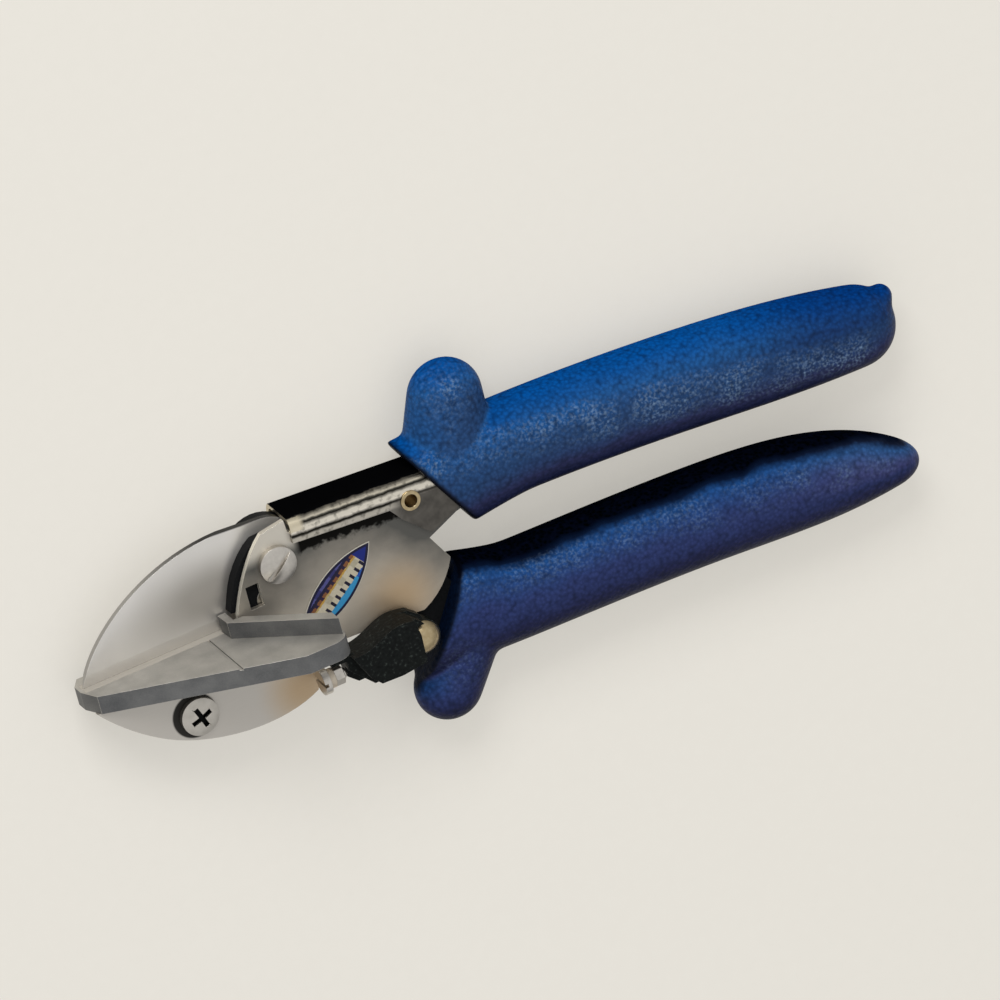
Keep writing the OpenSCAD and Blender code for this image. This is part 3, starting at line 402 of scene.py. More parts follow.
def pebbled_vinyl(name, shades, end_tint, streak_y, wear_and_sparkle, highlight_spot, mouth, turn):
    """Dip-moulded PVC sleeve with a pebble grain, with painted shade in the hollows, and a painted highlight
    along one side and round one spot on its guard. The painted light and shade go from the underside to the
    upper side, and are multiplied by the end's tint over the upper half of the end. The highlight's streak
    faces up by the first of two amounts at the mouth, and by the second at the end."""
    made, tree, shader, place = finish_named(name)
    # Pebbles 0.9 mm across, with a finer tooth of 0.3 mm on them
    pebbles = add(tree, "ShaderNodeTexVoronoi", {"Vector": place, "Scale": 1100.0}, feature="SMOOTH_F1")
    tooth = add(tree, "ShaderNodeTexNoise", {"Vector": place, "Scale": 3200.0, "Detail": 1.0})
    relief = add(tree, "ShaderNodeMath", {0: tooth, 1: 0.35, 2: pebbles.outputs["Distance"]},
        operation="MULTIPLY_ADD")
    # Painted light and shade follow how far the skin faces up, wandering in soft blotches of 9 mm
    outward = add(tree, "ShaderNodeTexCoord").outputs["Normal"]
    facing = add(tree, "ShaderNodeSeparateXYZ", {0: outward})
    blotches = add(tree, "ShaderNodeTexNoise", {"Vector": place, "Scale": 110.0, "Detail": 2.0})
    height = add(tree, "ShaderNodeMath", {0: blotches, 1: 0.3, 2: facing.outputs["Y"]},
        operation="MULTIPLY_ADD")
    turned_up = add(tree, "ShaderNodeMapRange", {"Value": height, "From Min": -0.85, "From Max": 1.15})
    skin = add(tree, "ShaderNodeValToRGB", {0: turned_up})
    stops = skin.color_ramp.elements
    stops[0].color, stops[1].color = linear(shades[0][1]), linear(shades[-1][1])
    for at, tint in shades[1:-1]:
        stops.new(at).color = linear(tint)
    # The end's tint covers the upper half of the last 40 mm
    level = add(tree, "ShaderNodeSeparateXYZ", {0: place})
    aft = add(tree, "ShaderNodeMapRange", {"Value": level.outputs["X"], "From Min": 0.138,
        "From Max": 0.170}, interpolation_type="SMOOTHSTEP")
    upper_half = add(tree, "ShaderNodeMapRange", {"Value": turned_up, "From Min": 0.42, "From Max": 0.6})
    upper_end = add(tree, "ShaderNodeMath", {0: aft, 1: upper_half}, operation="MULTIPLY")
    tinted = add(tree, "ShaderNodeMix", {MIX_FACTOR: upper_end, MIX_A: skin,
        MIX_B: end_tint}, data_type="RGBA", blend_type="MULTIPLY")
    # The gloss fades out over the upper side, so that the lower sleeve's painted black shade stays black
    gloss = add(tree, "ShaderNodeMapRange", {"Value": turned_up, "From Min": 0.6, "From Max": 0.9,
        "To Min": 0.07, "To Max": 0.0})
    # Painted highlight: pebbles catch the light in points of 0.7 mm, along a broken streak that falls to the
    # end
    lift = add(tree, "ShaderNodeMapRange", {"Value": level.outputs["X"], "From Min": 0.075, "From Max": 0.160,
        "To Min": streak_y[0], "To Max": streak_y[1]})
    way = add(tree, "ShaderNodeCombineXYZ", {"Y": lift, "Z": 0.95})
    unit = add(tree, "ShaderNodeVectorMath", {0: way}, operation="NORMALIZE")
    along = add(tree, "ShaderNodeVectorMath", {0: outward, 1: unit}, operation="DOT_PRODUCT")
    streak = add(tree, "ShaderNodeMapRange", {"Value": along.outputs["Value"], "From Min": 0.93,
        "From Max": 1.0})
    sparkle = add(tree, "ShaderNodeTexNoise", {"Vector": place, "Scale": 1500.0, "Detail": 3.0})
    points = add(tree, "ShaderNodeMapRange", {"Value": sparkle, "From Min": 0.45, "From Max": 0.78})
    broken = add(tree, "ShaderNodeMapRange", {"Value": blotches, "From Min": 0.34,
        "From Max": 0.60, "To Max": wear_and_sparkle})
    patches = add(tree, "ShaderNodeMath", {0: streak, 1: broken}, operation="MULTIPLY")
    from_spot = add(tree, "ShaderNodeVectorMath", {0: place, 1: highlight_spot}, operation="DISTANCE")
    on_guard = add(tree, "ShaderNodeMapRange", {"Value": from_spot.outputs["Value"], "From Min": 0.002,
        "From Max": 0.009, "To Min": 0.45 * wear_and_sparkle, "To Max": 0.0})
    wear_and_highlight = add(tree, "ShaderNodeMath", {0: patches, 1: on_guard}, operation="MAXIMUM")
    sparkle_highlight = add(tree, "ShaderNodeMath", {0: wear_and_highlight, 1: points}, operation="MULTIPLY")
    pale = add(tree, "ShaderNodeMix", {MIX_FACTOR: sparkle_highlight, MIX_A: tinted.outputs[MIX_COLOUR],
        MIX_B: linear("#86A0BC")}, data_type="RGBA")
    # Painted shade in the pebbles' hollows
    hollow = add(tree, "ShaderNodeMapRange", {"Value": relief, "From Min": 0.35,
        "From Max": 0.95, "To Max": 0.6})
    pitted = add(tree, "ShaderNodeMix", {MIX_FACTOR: hollow, MIX_A: pale.outputs[MIX_COLOUR],
        MIX_B: linear("#070D20")}, data_type="RGBA")
    # Painted black shadow on the lip of the mouth, a millimetre wide
    from_mouth = add(tree, "ShaderNodeVectorMath", {0: place, 1: (mouth[0] * MM, mouth[1] * MM, 0)},
        operation="SUBTRACT")
    behind = add(tree, "ShaderNodeVectorMath", {0: from_mouth,
        1: (math.cos(turn), math.sin(turn), 0)}, operation="DOT_PRODUCT")
    mouth_shadow = add(tree, "ShaderNodeMapRange", {"Value": behind.outputs["Value"], "From Min": 0.0005,
        "From Max": 0.0015, "To Min": 0.92, "To Max": 0.0})
    colour = add(tree, "ShaderNodeMix", {MIX_FACTOR: mouth_shadow, MIX_A: pitted.outputs[MIX_COLOUR],
        MIX_B: linear("#04050A")}, data_type="RGBA")
    rough = add(tree, "ShaderNodeMapRange", {"Value": tooth, "To Min": 0.36, "To Max": 0.52})
    bump = add(tree, "ShaderNodeBump", {"Height": relief, "Strength": 0.7, "Distance": 0.16 * MM},
        invert=True)
    feed(shader, {"Specular IOR Level": gloss, "Base Color": colour.outputs[MIX_COLOUR],
        "Roughness": rough, "Normal": bump})
    return made


# How the label is turned on the near cheek, and its sizes in millimetres
LABEL_TURN = math.radians(37)
LABEL_LENGTH = 28.0
LABEL_WIDTH = 9.6
LABEL_RIM = 0.85
BARE_EDGE = 0.2
TIP_FROM = 9.2
# How far the speckle frays the bands' edges, and the share of a band that its first colour takes
FRAY = 0.5
FIRST_SHARE = 0.62


def printed_label():
    """Printed foil label: a thin near-black rim round a cream band with a row of plain blocks, a dark
    band with orange dashes above it and a light blue one below, and a deep blue tip."""
    made, tree, shader, place = finish_named("Printed polyester foil", Roughness=0.5, Specular_IOR_Level=0.25)
    turned = add(tree, "ShaderNodeMapping", {"Vector": place, "Location": middle_of("label_plate"),
        "Rotation": (0, 0, LABEL_TURN), "Scale": (MM, MM, MM)}, vector_type="TEXTURE")
    local = add(tree, "ShaderNodeSeparateXYZ", {0: turned})
    flat = add(tree, "ShaderNodeCombineXYZ", {0: local.outputs["X"], 1: local.outputs["Y"]})
    # The print's speckle is 0.4 mm
    speckle = add(tree, "ShaderNodeTexNoise", {"Vector": place, "Scale": 2500.0, "Detail": 2.0})
    ragged = add(tree, "ShaderNodeMath", {0: speckle, 1: FRAY, 2: local.outputs["Y"]},
        operation="MULTIPLY_ADD")
    # Two arcs bound the pointed oval; the rim is what lies near either
    arc_r = (LABEL_LENGTH ** 2 + LABEL_WIDTH ** 2) / (4 * LABEL_WIDTH)
    offset = arc_r - LABEL_WIDTH / 2
    upper = add(tree, "ShaderNodeVectorMath", {0: flat, 1: (0, -offset, 0)}, operation="DISTANCE")
    lower = add(tree, "ShaderNodeVectorMath", {0: flat, 1: (0, offset, 0)}, operation="DISTANCE")
    outer = add(tree, "ShaderNodeMath", {0: upper.outputs["Value"], 1: lower.outputs["Value"]},
        operation="MAXIMUM")
    colour = linear("#120F2C")
    # Bands along the label: each one's middle, half its breadth, its pitch and its two colours
    for middle, half, pitch, one, other in ((3.35, 0.4, 3.0, "#4A4A80", "#2C2C60"),
            (1.75, 0.4, 1.1, "#7A4C2A", "#241430"), (1.0, 0.3, 2.1, "#B08A3C", "#A8925A"),
            (0.0, 0.8, 2.6, "#B8B09A", "#A39C86"), (-1.55, 0.8, 0.97, "#B8B09A", "#100C22"),
            (-3.35, 1.0, 9.0, "#2F86B4", "#1C4FA0")):
        inside = add(tree, "ShaderNodeMath", {0: ragged, 1: middle + FRAY / 2, 2: half}, operation="COMPARE")
        step = add(tree, "ShaderNodeMath", {0: local.outputs["X"], 1: pitch}, operation="PINGPONG")
        turn = add(tree, "ShaderNodeMath", {0: step, 1: FIRST_SHARE * pitch}, operation="GREATER_THAN")
        ink = add(tree, "ShaderNodeMix", {MIX_FACTOR: turn, MIX_A: linear(one),
            MIX_B: linear(other)}, data_type="RGBA")
        colour = add(tree, "ShaderNodeMix", {MIX_FACTOR: inside, MIX_A: colour,
            MIX_B: ink.outputs[MIX_COLOUR]}, data_type="RGBA").outputs[MIX_COLOUR]
    # A blue tip and a near-black rim, then a pale line of bare foil right at the edge
    rim = add(tree, "ShaderNodeMath", {0: outer, 1: arc_r - LABEL_RIM}, operation="GREATER_THAN")
    tip = add(tree, "ShaderNodeMath", {0: local.outputs["X"], 1: TIP_FROM}, operation="GREATER_THAN")
    tipped = add(tree, "ShaderNodeMix", {MIX_FACTOR: tip, MIX_A: colour,
        MIX_B: linear("#0A1E6E")}, data_type="RGBA")
    printed = add(tree, "ShaderNodeMix", {MIX_FACTOR: rim, MIX_A: tipped.outputs[MIX_COLOUR],
        MIX_B: linear("#07082A")}, data_type="RGBA")
    wear_and_highlight = add(tree, "ShaderNodeMapRange", {"Value": speckle, "From Min": 0.35, "To Max": 0.3})
    faded = add(tree, "ShaderNodeMix", {MIX_FACTOR: wear_and_highlight, MIX_A: printed.outputs[MIX_COLOUR],
        MIX_B: linear("#2A2740")}, data_type="RGBA")
    edge = add(tree, "ShaderNodeMath", {0: outer, 1: arc_r - BARE_EDGE}, operation="GREATER_THAN")
    final = add(tree, "ShaderNodeMix", {MIX_FACTOR: edge, MIX_A: faded.outputs[MIX_COLOUR],
        MIX_B: linear("#B9B4A8")}, data_type="RGBA")
    feed(shader, {"Base Color": final.outputs[MIX_COLOUR]})
    return made


def moulded_nylon():
    """Moulded nylon: the pale strip that the blade closes on, matte and slightly scored."""
    made, tree, shader, place = finish_named("Moulded nylon", Roughness=0.45)
    # Scores are 0.7 mm apart and some 17 mm long
    along = add(tree, "ShaderNodeMapping", {"Vector": place, "Scale": (60, 1500, 1500)})
    scores = add(tree, "ShaderNodeTexNoise", {"Vector": along, "Scale": 1.0, "Detail": 2.0})
    colour = add(tree, "ShaderNodeMix", {MIX_FACTOR: scores, MIX_A: linear("#B9B3A8"),
        MIX_B: linear("#A09A90")}, data_type="RGBA")
    bump = add(tree, "ShaderNodeBump", {"Height": scores, "Strength": 0.3, "Distance": 0.04 * MM})
    feed(shader, {"Base Color": colour.outputs[MIX_COLOUR], "Normal": bump})
    return made


finishes = {
    "blade_steel": polished_blade_steel(),
    "cheek_steel": satin_sheet_steel(),
    "channel_chrome": chromed_channel(),
    "grey_casting": grey_casting(),
    "screw_steel": turned_metal("Bright zinc plate", "#CFCAC2", "#B3AEA6", roughness=(0.26, 0.38)),
    "brass": turned_metal("Turned brass", "#C6B694", "#A08B64", roughness=(0.24, 0.38)),
    "spring_steel": turned_metal("Oiled spring wire", "#8A8A8A", "#5E5E60", roughness=(0.25, 0.4)),
    "black_paint": textured_black("Stoved black paint", "#0B0C0D", "#17181A", grain_mm=0.5,
        relief_mm=0.04, roughness=0.5),
    "black_plastic": textured_black("Moulded black nylon", "#020303", "#1C1F1E", grain_mm=0.8,
        relief_mm=0.2, roughness=0.42, glint="#3C423E"),
    "blue_vinyl": pebbled_vinyl("Dip-moulded PVC",
        ((0.0, "#06080F"), (0.14, "#151A38"), (0.32, "#2A2F55"), (0.5, "#26446F"), (0.72, "#1E5490"),
         (1.0, "#044F9C")),
        end_tint=(0.5, 0.53, 0.66, 1.0), streak_y=(0.42, -0.22), wear_and_sparkle=0.72,
        highlight_spot=(0.0735, 0.036, 0.0055), mouth=UPPER_MOUTH, turn=UPPER_TURN),
    "label_foil": printed_label(),
    "anvil_nylon": moulded_nylon(),
}
# The lower sleeve's upper side is painted black, as shade under the upper grip
top_shaded_vinyl = pebbled_vinyl("Dip-moulded PVC, shaded black along its upper side",
    ((0.0, "#04060C"), (0.14, "#0F1330"), (0.32, "#22264A"), (0.5, "#2D3A6A"), (0.78, "#1E4C88"),
     (0.87, "#0A1830"), (0.93, "#010203"), (1.0, "#010203")),
    end_tint=(2.2, 1.3, 1.05, 1.0), streak_y=(0.5, 0.25), wear_and_sparkle=0.4,
    highlight_spot=(0.0585, -0.030, 0.0095), mouth=LOWER_MOUTH, turn=LOWER_TURN)
# Edge finishes: scuffed lighter than the faces, and lighter still as painted highlights on the arrises
bright_arris = rubbed_edge("Rubbed casting edge", "#CFCBC4", "#A5A19B", 0.35)
nylon_arris = textured_black("Rubbed nylon edge", "#15181A", "#5A5D5A", grain_mm=0.6, relief_mm=0.1,
    roughness=0.45, glint="#8A8D88")
steel_arris = rubbed_edge("Rubbed steel edge", "#E2DDD2", "#B9B3A8", 0.25)


# ---- Meshes ----

def new_piece(name, mesh, node, finish):
    """A piece that stands for a CAD node, rides on its body and takes its finish."""
    obj = bpy.data.objects.new(name, mesh)
    scene.collection.objects.link(obj)
    mesh.materials.clear()
    mesh.materials.append(finish)
    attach(obj, body_of_node[node])
    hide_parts(node)
    return obj


def merged_copy(node):
    """The node's mesh with its loose triangles joined and its flat faces made whole."""
    bm = bmesh.new()
    bm.from_mesh(frame["nodes"][node].data)
    bmesh.ops.remove_doubles(bm, verts=bm.verts, dist=1e-6)
    bmesh.ops.dissolve_limit(bm, angle_limit=math.radians(0.4), verts=bm.verts, edges=bm.edges)
    mesh = bpy.data.meshes.new(node)
    bm.to_mesh(mesh)
    bm.free()
    return mesh


# Faces that meet at more than this make an edge
SHARP = math.radians(28)


def eased(node, width, edge=None, finish=None):
    """The node's shape with its sharp edges eased, in its finish, with another finish on the edges."""
    mesh = merged_copy(node)
    obj = new_piece(node + "_finished", mesh, node, finish or finishes[slot_of_node[node]])
    if edge:
        mesh.materials.append(edge)
    mesh.shade_smooth()
    mesh.set_sharp_from_angle(angle=SHARP)
    bevel = obj.modifiers.new("Eased edges", "BEVEL")
    bevel.width = width * MM
    bevel.segments = 2
    bevel.limit_method = "ANGLE"
    bevel.angle_limit = SHARP
    bevel.material = 1 if edge else -1
    bevel.harden_normals = True


# Each node with the width of its eased edges in millimetres, and the finish of its edges, whose light tone is
# partly a painted highlight
eased("jaw_screw", 0.12, finish=shaded_recess_screw())
eased("upper_spring_seat", 0.08, finish=finishes["channel_chrome"])
for node, width, edge in (
        ("near_cheek", 0.38, steel_arris), ("far_cheek", 0.38, steel_arris), ("channel", 0.18, None),
        ("spacer_rivet", 0.12, None), ("mitre_table", 0.4, bright_arris), ("mitre_fence", 0.35, bright_arris),
        ("anvil_strip", 0.12, None), ("fence_screws", 0.1, None),
        ("jaw_nut", 0.2, None), ("stop_screw", 0.15, None), ("lock_nut", 0.2, None),
        ("pivot_bolt", 0.12, None), ("pivot_nut", 0.2, None), ("pivot_washers", 0.03, None),
        ("pivot_bush", 0.1, None), ("blade", 0.04, None), ("blade_clamp", 0.3, None),
        ("blade_screws", 0.1, None), ("blade_arm", 0.35, None), ("lower_spring_seat", 0.08, None),
        ("catch_pin", 0.1, None), ("catch_spacer", 0.1, None),
        ("thumb_catch", 0.5, nylon_arris), ("label_plate", 0.05, None)):
    eased(node, width, edge)


# ---- Return spring ----

def spring_tree():
    """A coil wound round the Y axis: a spiral swept by a round wire, then given its finish."""
    tree = bpy.data.node_groups.new("Wound spring", "GeometryNodeTree")
    for name, kind in (("Turns", "NodeSocketFloat"), ("Coil radius", "NodeSocketFloat"),
                       ("Wire radius", "NodeSocketFloat"), ("Length", "NodeSocketFloat"),
                       ("Foot", "NodeSocketVector"), ("Finish", "NodeSocketMaterial")):
        tree.interface.new_socket(name, in_out="INPUT", socket_type=kind)
    tree.interface.new_socket("Geometry", in_out="OUTPUT", socket_type="NodeSocketGeometry")
    sizes = add(tree, "NodeGroupInput").outputs
    coil = add(tree, "GeometryNodeCurveSpiral", {"Resolution": 32, "Rotations": sizes["Turns"],
        "Start Radius": sizes["Coil radius"], "End Radius": sizes["Coil radius"], "Height": sizes["Length"]})
    stood = add(tree, "GeometryNodeTransform", {"Geometry": coil, "Translation": sizes["Foot"],
        "Rotation": (-math.pi / 2, 0, 0)})
    wire = add(tree, "GeometryNodeCurvePrimitiveCircle", {"Resolution": 14, "Radius": sizes["Wire radius"]})
    swept = add(tree, "GeometryNodeCurveToMesh", {"Curve": stood, "Profile Curve": wire, "Fill Caps": True})
    real = add(tree, "GeometryNodeRealizeInstances", {0: swept})
    coated = add(tree, "GeometryNodeSetMaterial", {"Geometry": real, "Material": sizes["Finish"]})
    add(tree, "NodeGroupOutput", {0: coated})
    return tree


# The spring's turns, and the radius of its wire
TURNS = 6.5
WIRE = 0.6 * MM


def wound_spring():
    """The return spring, which fills the CAD spring's box."""
    low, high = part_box("return_spring")
    values = {"Turns": TURNS, "Coil radius": (high.x - low.x) / 2 - WIRE, "Wire radius": WIRE,
              "Length": high.y - low.y - 2 * WIRE, "Foot": ((low.x + high.x) / 2, low.y + WIRE, 0),
              "Finish": finishes["spring_steel"]}
    carrier = bpy.data.objects.new("spring_source", bpy.data.meshes.new("spring_source"))
    scene.collection.objects.link(carrier)
    winding = carrier.modifiers.new("Winding", "NODES")
    winding.node_group = spring_tree()
    for item in winding.node_group.interface.items_tree:
        if item.in_out == "INPUT":
            winding[item.identifier] = values[item.name]
    bpy.context.view_layer.update()
    mesh = bpy.data.meshes.new_from_object(carrier.evaluated_get(bpy.context.evaluated_depsgraph_get()))
    bpy.data.objects.remove(carrier)
    mesh.shade_smooth()
    coil = bpy.data.objects.new("wound_spring", mesh)
    scene.collection.objects.link(coil)
    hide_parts("return_spring")
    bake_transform(coil)


wound_spring()


# ---- Grips ----

def cubic(a, b, c, d, t):
    """The point at t on a cubic curve in the plane of the handles."""
    a, b, c, d = (Vector((x, y, 0)) for x, y in (a, b, c, d))
    s = 1 - t
    return s * s * s * a + 3 * s * s * t * b + 3 * s * t * t * c + t * t * t * d


# The grip's section: its power, which is 2 in an ellipse and more in a squarer oval, and its points
OVAL_POWER = 2.3
OVAL_SIDES = 48


def oval(centre, height, width, tilt):
    """Points of a rounded oval across the grip, in millimetres."""
    points = []
    for k in range(OVAL_SIDES):
        w = 2 * math.pi * k / OVAL_SIDES
        c, s = math.cos(w), math.sin(w)
        up = math.copysign(abs(c) ** (2 / OVAL_POWER), c) * height / 2
        out = math.copysign(abs(s) ** (2 / OVAL_POWER), s) * width / 2
        points.append(Vector((centre[0] - up * math.sin(tilt), centre[1] + up * math.cos(tilt), out)))
    return points


def lofted_bar(bm, rings):
    """A closed bar through a list of rings."""
    rows = [[bm.verts.new(p) for p in ring] for ring in rings]
    for a, b in zip(rows, rows[1:]):
        for k in range(len(a)):
            bm.faces.new((a[k], a[k - 1], b[k - 1], b[k]))
    bm.faces.new(rows[0])
    bm.faces.new(rows[-1][::-1])


# Steps of an egg from end to end
EGG_STEPS = 18


def egg_points(centre, size):
    """Points all over an egg that reaches its own length, height and width from its centre."""
    points = []
    for i in range(EGG_STEPS + 1):
        a = math.pi * i / EGG_STEPS
        for k in range(2 * EGG_STEPS):
            b = math.pi * k / EGG_STEPS
            points.append(Vector((centre[0] + size[0] * math.cos(a), centre[1] + size[1] * math.sin(a) *
                math.cos(b), size[2] * math.sin(a) * math.sin(b))))
    return points


def wrapped(bm, points):
    """The skin stretched round a cloud of points."""
    verts = [bm.verts.new(p) for p in points]
    made = bmesh.ops.convex_hull(bm, input=verts, use_existing_faces=False)
    loose = [v for v in made["geom_interior"] + made["geom_unused"] if isinstance(v, bmesh.types.BMVert)]
    bmesh.ops.delete(bm, geom=list(set(loose)), context="VERTS")


def cut_mouth(bm, mouth, turn):
    """Takes off what lies in front of the grip's slanted mouth, and closes it."""
    normal = Vector((math.cos(turn), math.sin(turn), 0))
    cut = bmesh.ops.bisect_plane(bm, geom=bm.verts[:] + bm.edges[:] + bm.faces[:], dist=1e-5,
        plane_co=Vector((mouth[0], mouth[1], 0)), plane_no=normal, clear_inner=True)
    rim = [e for e in cut["geom_cut"] if isinstance(e, bmesh.types.BMEdge)]
    bmesh.ops.holes_fill(bm, edges=rim, sides=0)


# The grain of a grip's skin, in millimetres
SKIN_VOXEL = 0.55


def moulded_grip(name, node, solids, finish, passes):
    """Joins a grip's overlapping solids into one skin, rounds it, and brings it to metres."""
    whole = bmesh.new()
    for solid in solids:
        part = bpy.data.meshes.new("part")
        solid.to_mesh(part)
        solid.free()
        whole.from_mesh(part)
        bpy.data.meshes.remove(part)
    bmesh.ops.recalc_face_normals(whole, faces=whole.faces)
    mesh = bpy.data.meshes.new(name)
    whole.to_mesh(mesh)
    whole.free()
    source = bpy.data.objects.new(name + "_source", mesh)
    scene.collection.objects.link(source)
    skin = source.modifiers.new("Skin", "REMESH")
    skin.mode = "VOXEL"
    skin.voxel_size = SKIN_VOXEL
    skin.use_smooth_shade = True
    ease = source.modifiers.new("Ease", "SMOOTH")
    ease.factor = 0.5
    ease.iterations = passes
    bpy.context.view_layer.update()
    final = bpy.data.meshes.new_from_object(source.evaluated_get(bpy.context.evaluated_depsgraph_get()))
    bpy.data.objects.remove(source)
    final.transform(Matrix.Scale(MM, 4))
    final.shade_smooth()
    new_piece(name, final, node, finish)


# The bar of either grip, in millimetres, and the share by which its width bellies out
GRIP_HEIGHT = 23.8
GRIP_WIDTH = 19.4
BELLY = 0.03
# After a share of its length it tapers by a power of the way, its width less than its height
TAPER_FROM = 0.6
TAPER_POWER = 3
WIDTH_TAPER = 0.6
# The flare to the mouth is a gentler curve
FLARE_POWER = 1.25
# Rings along the bar and round its end, and how far on either side of a ring its tilt is taken
STATIONS = 48
END_STEPS = 9
TILT_REACH = 0.02


def grip_bar(path, flare, flare_end, taper, round_length):
    """An oval bar along the handle: one side flares to the mouth, the end tapers and rounds off."""
    rings = []
    for i in range(STATIONS + 1):
        t = i / STATIONS
        ahead, behind = cubic(*path, min(t + TILT_REACH, 1)), cubic(*path, max(t - TILT_REACH, 0))
        tilt = math.atan2(ahead.y - behind.y, ahead.x - behind.x)
        thinner = taper * (max(0, t - TAPER_FROM) / (1 - TAPER_FROM)) ** TAPER_POWER
        flared = flare * max(0, 1 - t / flare_end) ** FLARE_POWER
        width = GRIP_WIDTH * (1 - BELLY * (2 * t - 0.9) ** 2 - WIDTH_TAPER * thinner)
        at = cubic(*path, t) + Vector((0, flared / 2, 0))
        rings.append((at, GRIP_HEIGHT * (1 - thinner) + abs(flared), width, tilt))
    # The rounded end takes over at the slope that the taper has reached
    at, height, width, tilt = rings[-1]
    slope = (rings[-2][1] - height) / (at - rings[-2][0]).length
    lead = slope * round_length / height
    start = math.asin(lead / (1 - lead))
    for i in range(1, END_STEPS):
        w = start + (math.pi / 2 - start) * i / END_STEPS
        out = round_length * (math.sin(w) - math.sin(start)) / (1 - math.sin(start))
        less = math.cos(w) / math.cos(start)
        rings.append((at + out * Vector((math.cos(tilt), math.sin(tilt), 0)), height * less, width * less,
            tilt))
    bar = bmesh.new()
    lofted_bar(bar, [oval(*ring) for ring in rings])
    return bar


def shaped(points, mouth=None, turn=0.0):
    """A solid stretched round points, cut off at the mouth."""
    bm = bmesh.new()
    wrapped(bm, points)
    if mouth:
        cut_mouth(bm, mouth, turn)
    return bm


def upper_grip():
    """The sleeve of the body's handle, with the thumb guard and a nub on its end."""
    path = ((54.05, 14.6), (95.0, 16.2), (135.0, 12.6), (176.6, 7.0))
    bar = grip_bar(path, flare=-5.4, flare_end=0.28, taper=0.17, round_length=9.4)
    cut_mouth(bar, UPPER_MOUTH, UPPER_TURN)
    guard = egg_points((74.7, 33.2), (9.2, 9.2, 7.3)) + egg_points((71.5, 19), (12, 7, 8.6))
    # A fillet runs from the guard down to the tip of the mouth
    heel = egg_points((67.2, 25), (5.5, 4.2, 6)) + egg_points((62, 22.5), (4, 3.2, 5))
    nub = egg_points((184.3, 12.1), (2.5, 2.4, 3.8)) + egg_points((179.6, 7.2), (5.4, 6, 6))
    solids = [bar, shaped(guard, UPPER_MOUTH, UPPER_TURN), shaped(heel, UPPER_MOUTH, UPPER_TURN), shaped(nub)]
    moulded_grip("upper_sleeve", "upper_grip", solids, finishes["blue_vinyl"], passes=14)


def lower_grip():
    """The sleeve of the blade lever's handle, with the finger guard."""
    path = ((48.0, -19.8), (95.0, -22.6), (140.05, -19.1), (177.2, -29.7))
    bar = grip_bar(path, flare=8.6, flare_end=0.22, taper=0.54, round_length=5.6)
    cut_mouth(bar, LOWER_MOUTH, LOWER_TURN)
    guard = egg_points((56.4, -37.0), (8.5, 8.5, 7)) + egg_points((64.6, -25.6), (8.8, 7, 8.4))
    moulded_grip("lower_sleeve", "lower_grip", [bar, shaped(guard)], top_shaded_vinyl, passes=24)


upper_grip()
lower_grip()


# ---- Floor, light and camera ----

# The share of its own colour that the paper shows, half its width, and how far it's below the tool
OWN_SHARE = 0.5
FLOOR_REACH = 3.0
FLOOR_GAP = 0.05 * MM


def paper():
    """Matte pale paper with clumps of fibre of 3 mm. A share of what is seen is its own colour, so that
    the tool's shadow on it stays soft and light."""
    made, tree, shader, place = finish_named("Matte paper", Roughness=0.9, Specular_IOR_Level=0.1)
    fibre = add(tree, "ShaderNodeTexNoise", {"Vector": place, "Scale": 300.0, "Detail": 2.0})
    colour = add(tree, "ShaderNodeMix", {MIX_FACTOR: fibre, MIX_A: linear("#E9E5DC"),
        MIX_B: linear("#E7E3DA")}, data_type="RGBA")
    feed(shader, {"Base Color": colour.outputs[MIX_COLOUR]})
    path = add(tree, "ShaderNodeLightPath").outputs
    seen = add(tree, "ShaderNodeMath", {0: path["Is Camera Ray"], 1: path["Is Glossy Ray"]},
        operation="MAXIMUM")
    through = add(tree, "ShaderNodeMath", {0: seen, 1: path["Is Transmission Ray"]}, operation="MAXIMUM")
    share = add(tree, "ShaderNodeMath", {0: through, 1: OWN_SHARE}, operation="MULTIPLY")
    glow = add(tree, "ShaderNodeEmission", {"Color": colour.outputs[MIX_COLOUR], "Strength": 1.0})
    both = add(tree, "ShaderNodeMixShader", {0: share, 1: shader, 2: glow})
    output = next(n for n in tree.nodes if n.type == "OUTPUT_MATERIAL")
    feed(output, {"Surface": both})
    return made


def plain_floor():
    """A paper floor that the tool lies on."""
    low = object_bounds()[0][2]
    bm = bmesh.new()
    corners = ((-1, -1), (1, -1), (1, 1), (-1, 1))
    bm.faces.new([bm.verts.new((x * FLOOR_REACH, y * FLOOR_REACH, low - FLOOR_GAP)) for x, y in corners])
    mesh = bpy.data.meshes.new("paper_floor")
    bm.to_mesh(mesh)
    bm.free()
    mesh.materials.append(paper())
    floor = bpy.data.objects.new("paper_floor", mesh)
    scene.collection.objects.link(floor)


plain_floor()

# The camera is so far off that parallel edges stay parallel; the picture's width is at the tool
TARGET = Vector((80.8, 2.1, 0)) * MM
TO_CAMERA = Vector((-0.263, 0.438, 0.860)).normalized()
CAMERA_UP = Vector((0.383, 0.866, -0.323))
CAMERA_DISTANCE = 8.0
PICTURE_WIDTH = 233.7 * MM


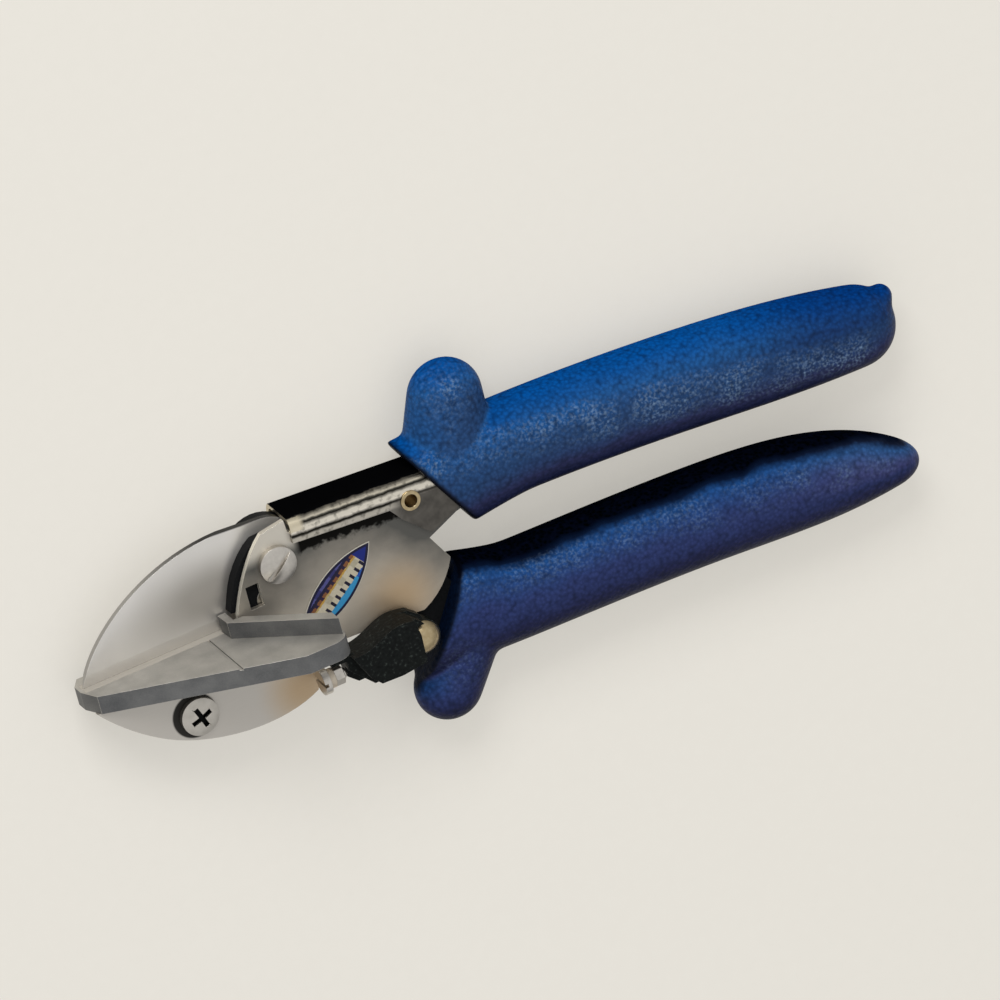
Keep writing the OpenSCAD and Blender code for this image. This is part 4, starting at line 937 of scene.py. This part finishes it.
def lamp(name, offset, size, watts):
    """A white soft box that faces the tool from an offset in metres."""
    data = bpy.data.lights.new(name, "AREA")
    data.shape = "RECTANGLE"
    data.size, data.size_y = size
    data.energy = watts
    obj = bpy.data.objects.new(name, data)
    scene.collection.objects.link(obj)
    obj.location = TARGET + Vector(offset)
    obj.rotation_euler = (-Vector(offset)).to_track_quat("-Z", "Y").to_euler()


lamp("key_box", offset=(-0.6, 2.2, 1.6), size=(1.3, 1.0), watts=39.0)


def studio_air():
    """A sky that is bright overhead and dim at the sides, as in a light tent, but looks as pale as the
    paper where it is seen directly."""
    world = bpy.data.worlds.new("Light tent")
    scene.world = world
    world.use_nodes = True
    tree = world.node_tree
    tree.nodes.clear()
    aim = add(tree, "ShaderNodeSeparateXYZ", {0: add(tree, "ShaderNodeTexCoord").outputs["Generated"]})
    bright = add(tree, "ShaderNodeMapRange", {"Value": aim.outputs["Z"], "From Min": 0.0, "From Max": 0.75,
        "To Min": 0.30, "To Max": 0.78}, interpolation_type="SMOOTHSTEP")
    glow = add(tree, "ShaderNodeBackground", {"Color": linear("#FFFFFF"), "Strength": bright})
    backdrop = add(tree, "ShaderNodeBackground", {"Color": linear("#E8E4DB"), "Strength": 1.0})
    seen = add(tree, "ShaderNodeLightPath").outputs["Is Camera Ray"]
    both = add(tree, "ShaderNodeMixShader", {0: seen, 1: glow, 2: backdrop})
    add(tree, "ShaderNodeOutputWorld", {"Surface": both})


studio_air()


def place_camera():
    """A long lens that looks down on the near side, level with the blade's edge."""
    data = bpy.data.cameras.new("camera")
    data.sensor_width = 36
    data.lens = data.sensor_width * CAMERA_DISTANCE / PICTURE_WIDTH
    data.clip_end = 30
    camera = bpy.data.objects.new("camera", data)
    scene.collection.objects.link(camera)
    right = CAMERA_UP.cross(TO_CAMERA).normalized()
    up = TO_CAMERA.cross(right)
    turn = Matrix((right, up, TO_CAMERA)).transposed().to_4x4()
    camera.matrix_world = Matrix.Translation(TARGET + TO_CAMERA * CAMERA_DISTANCE) @ turn
    scene.camera = camera


place_camera()
scene.view_settings.view_transform = "Standard"
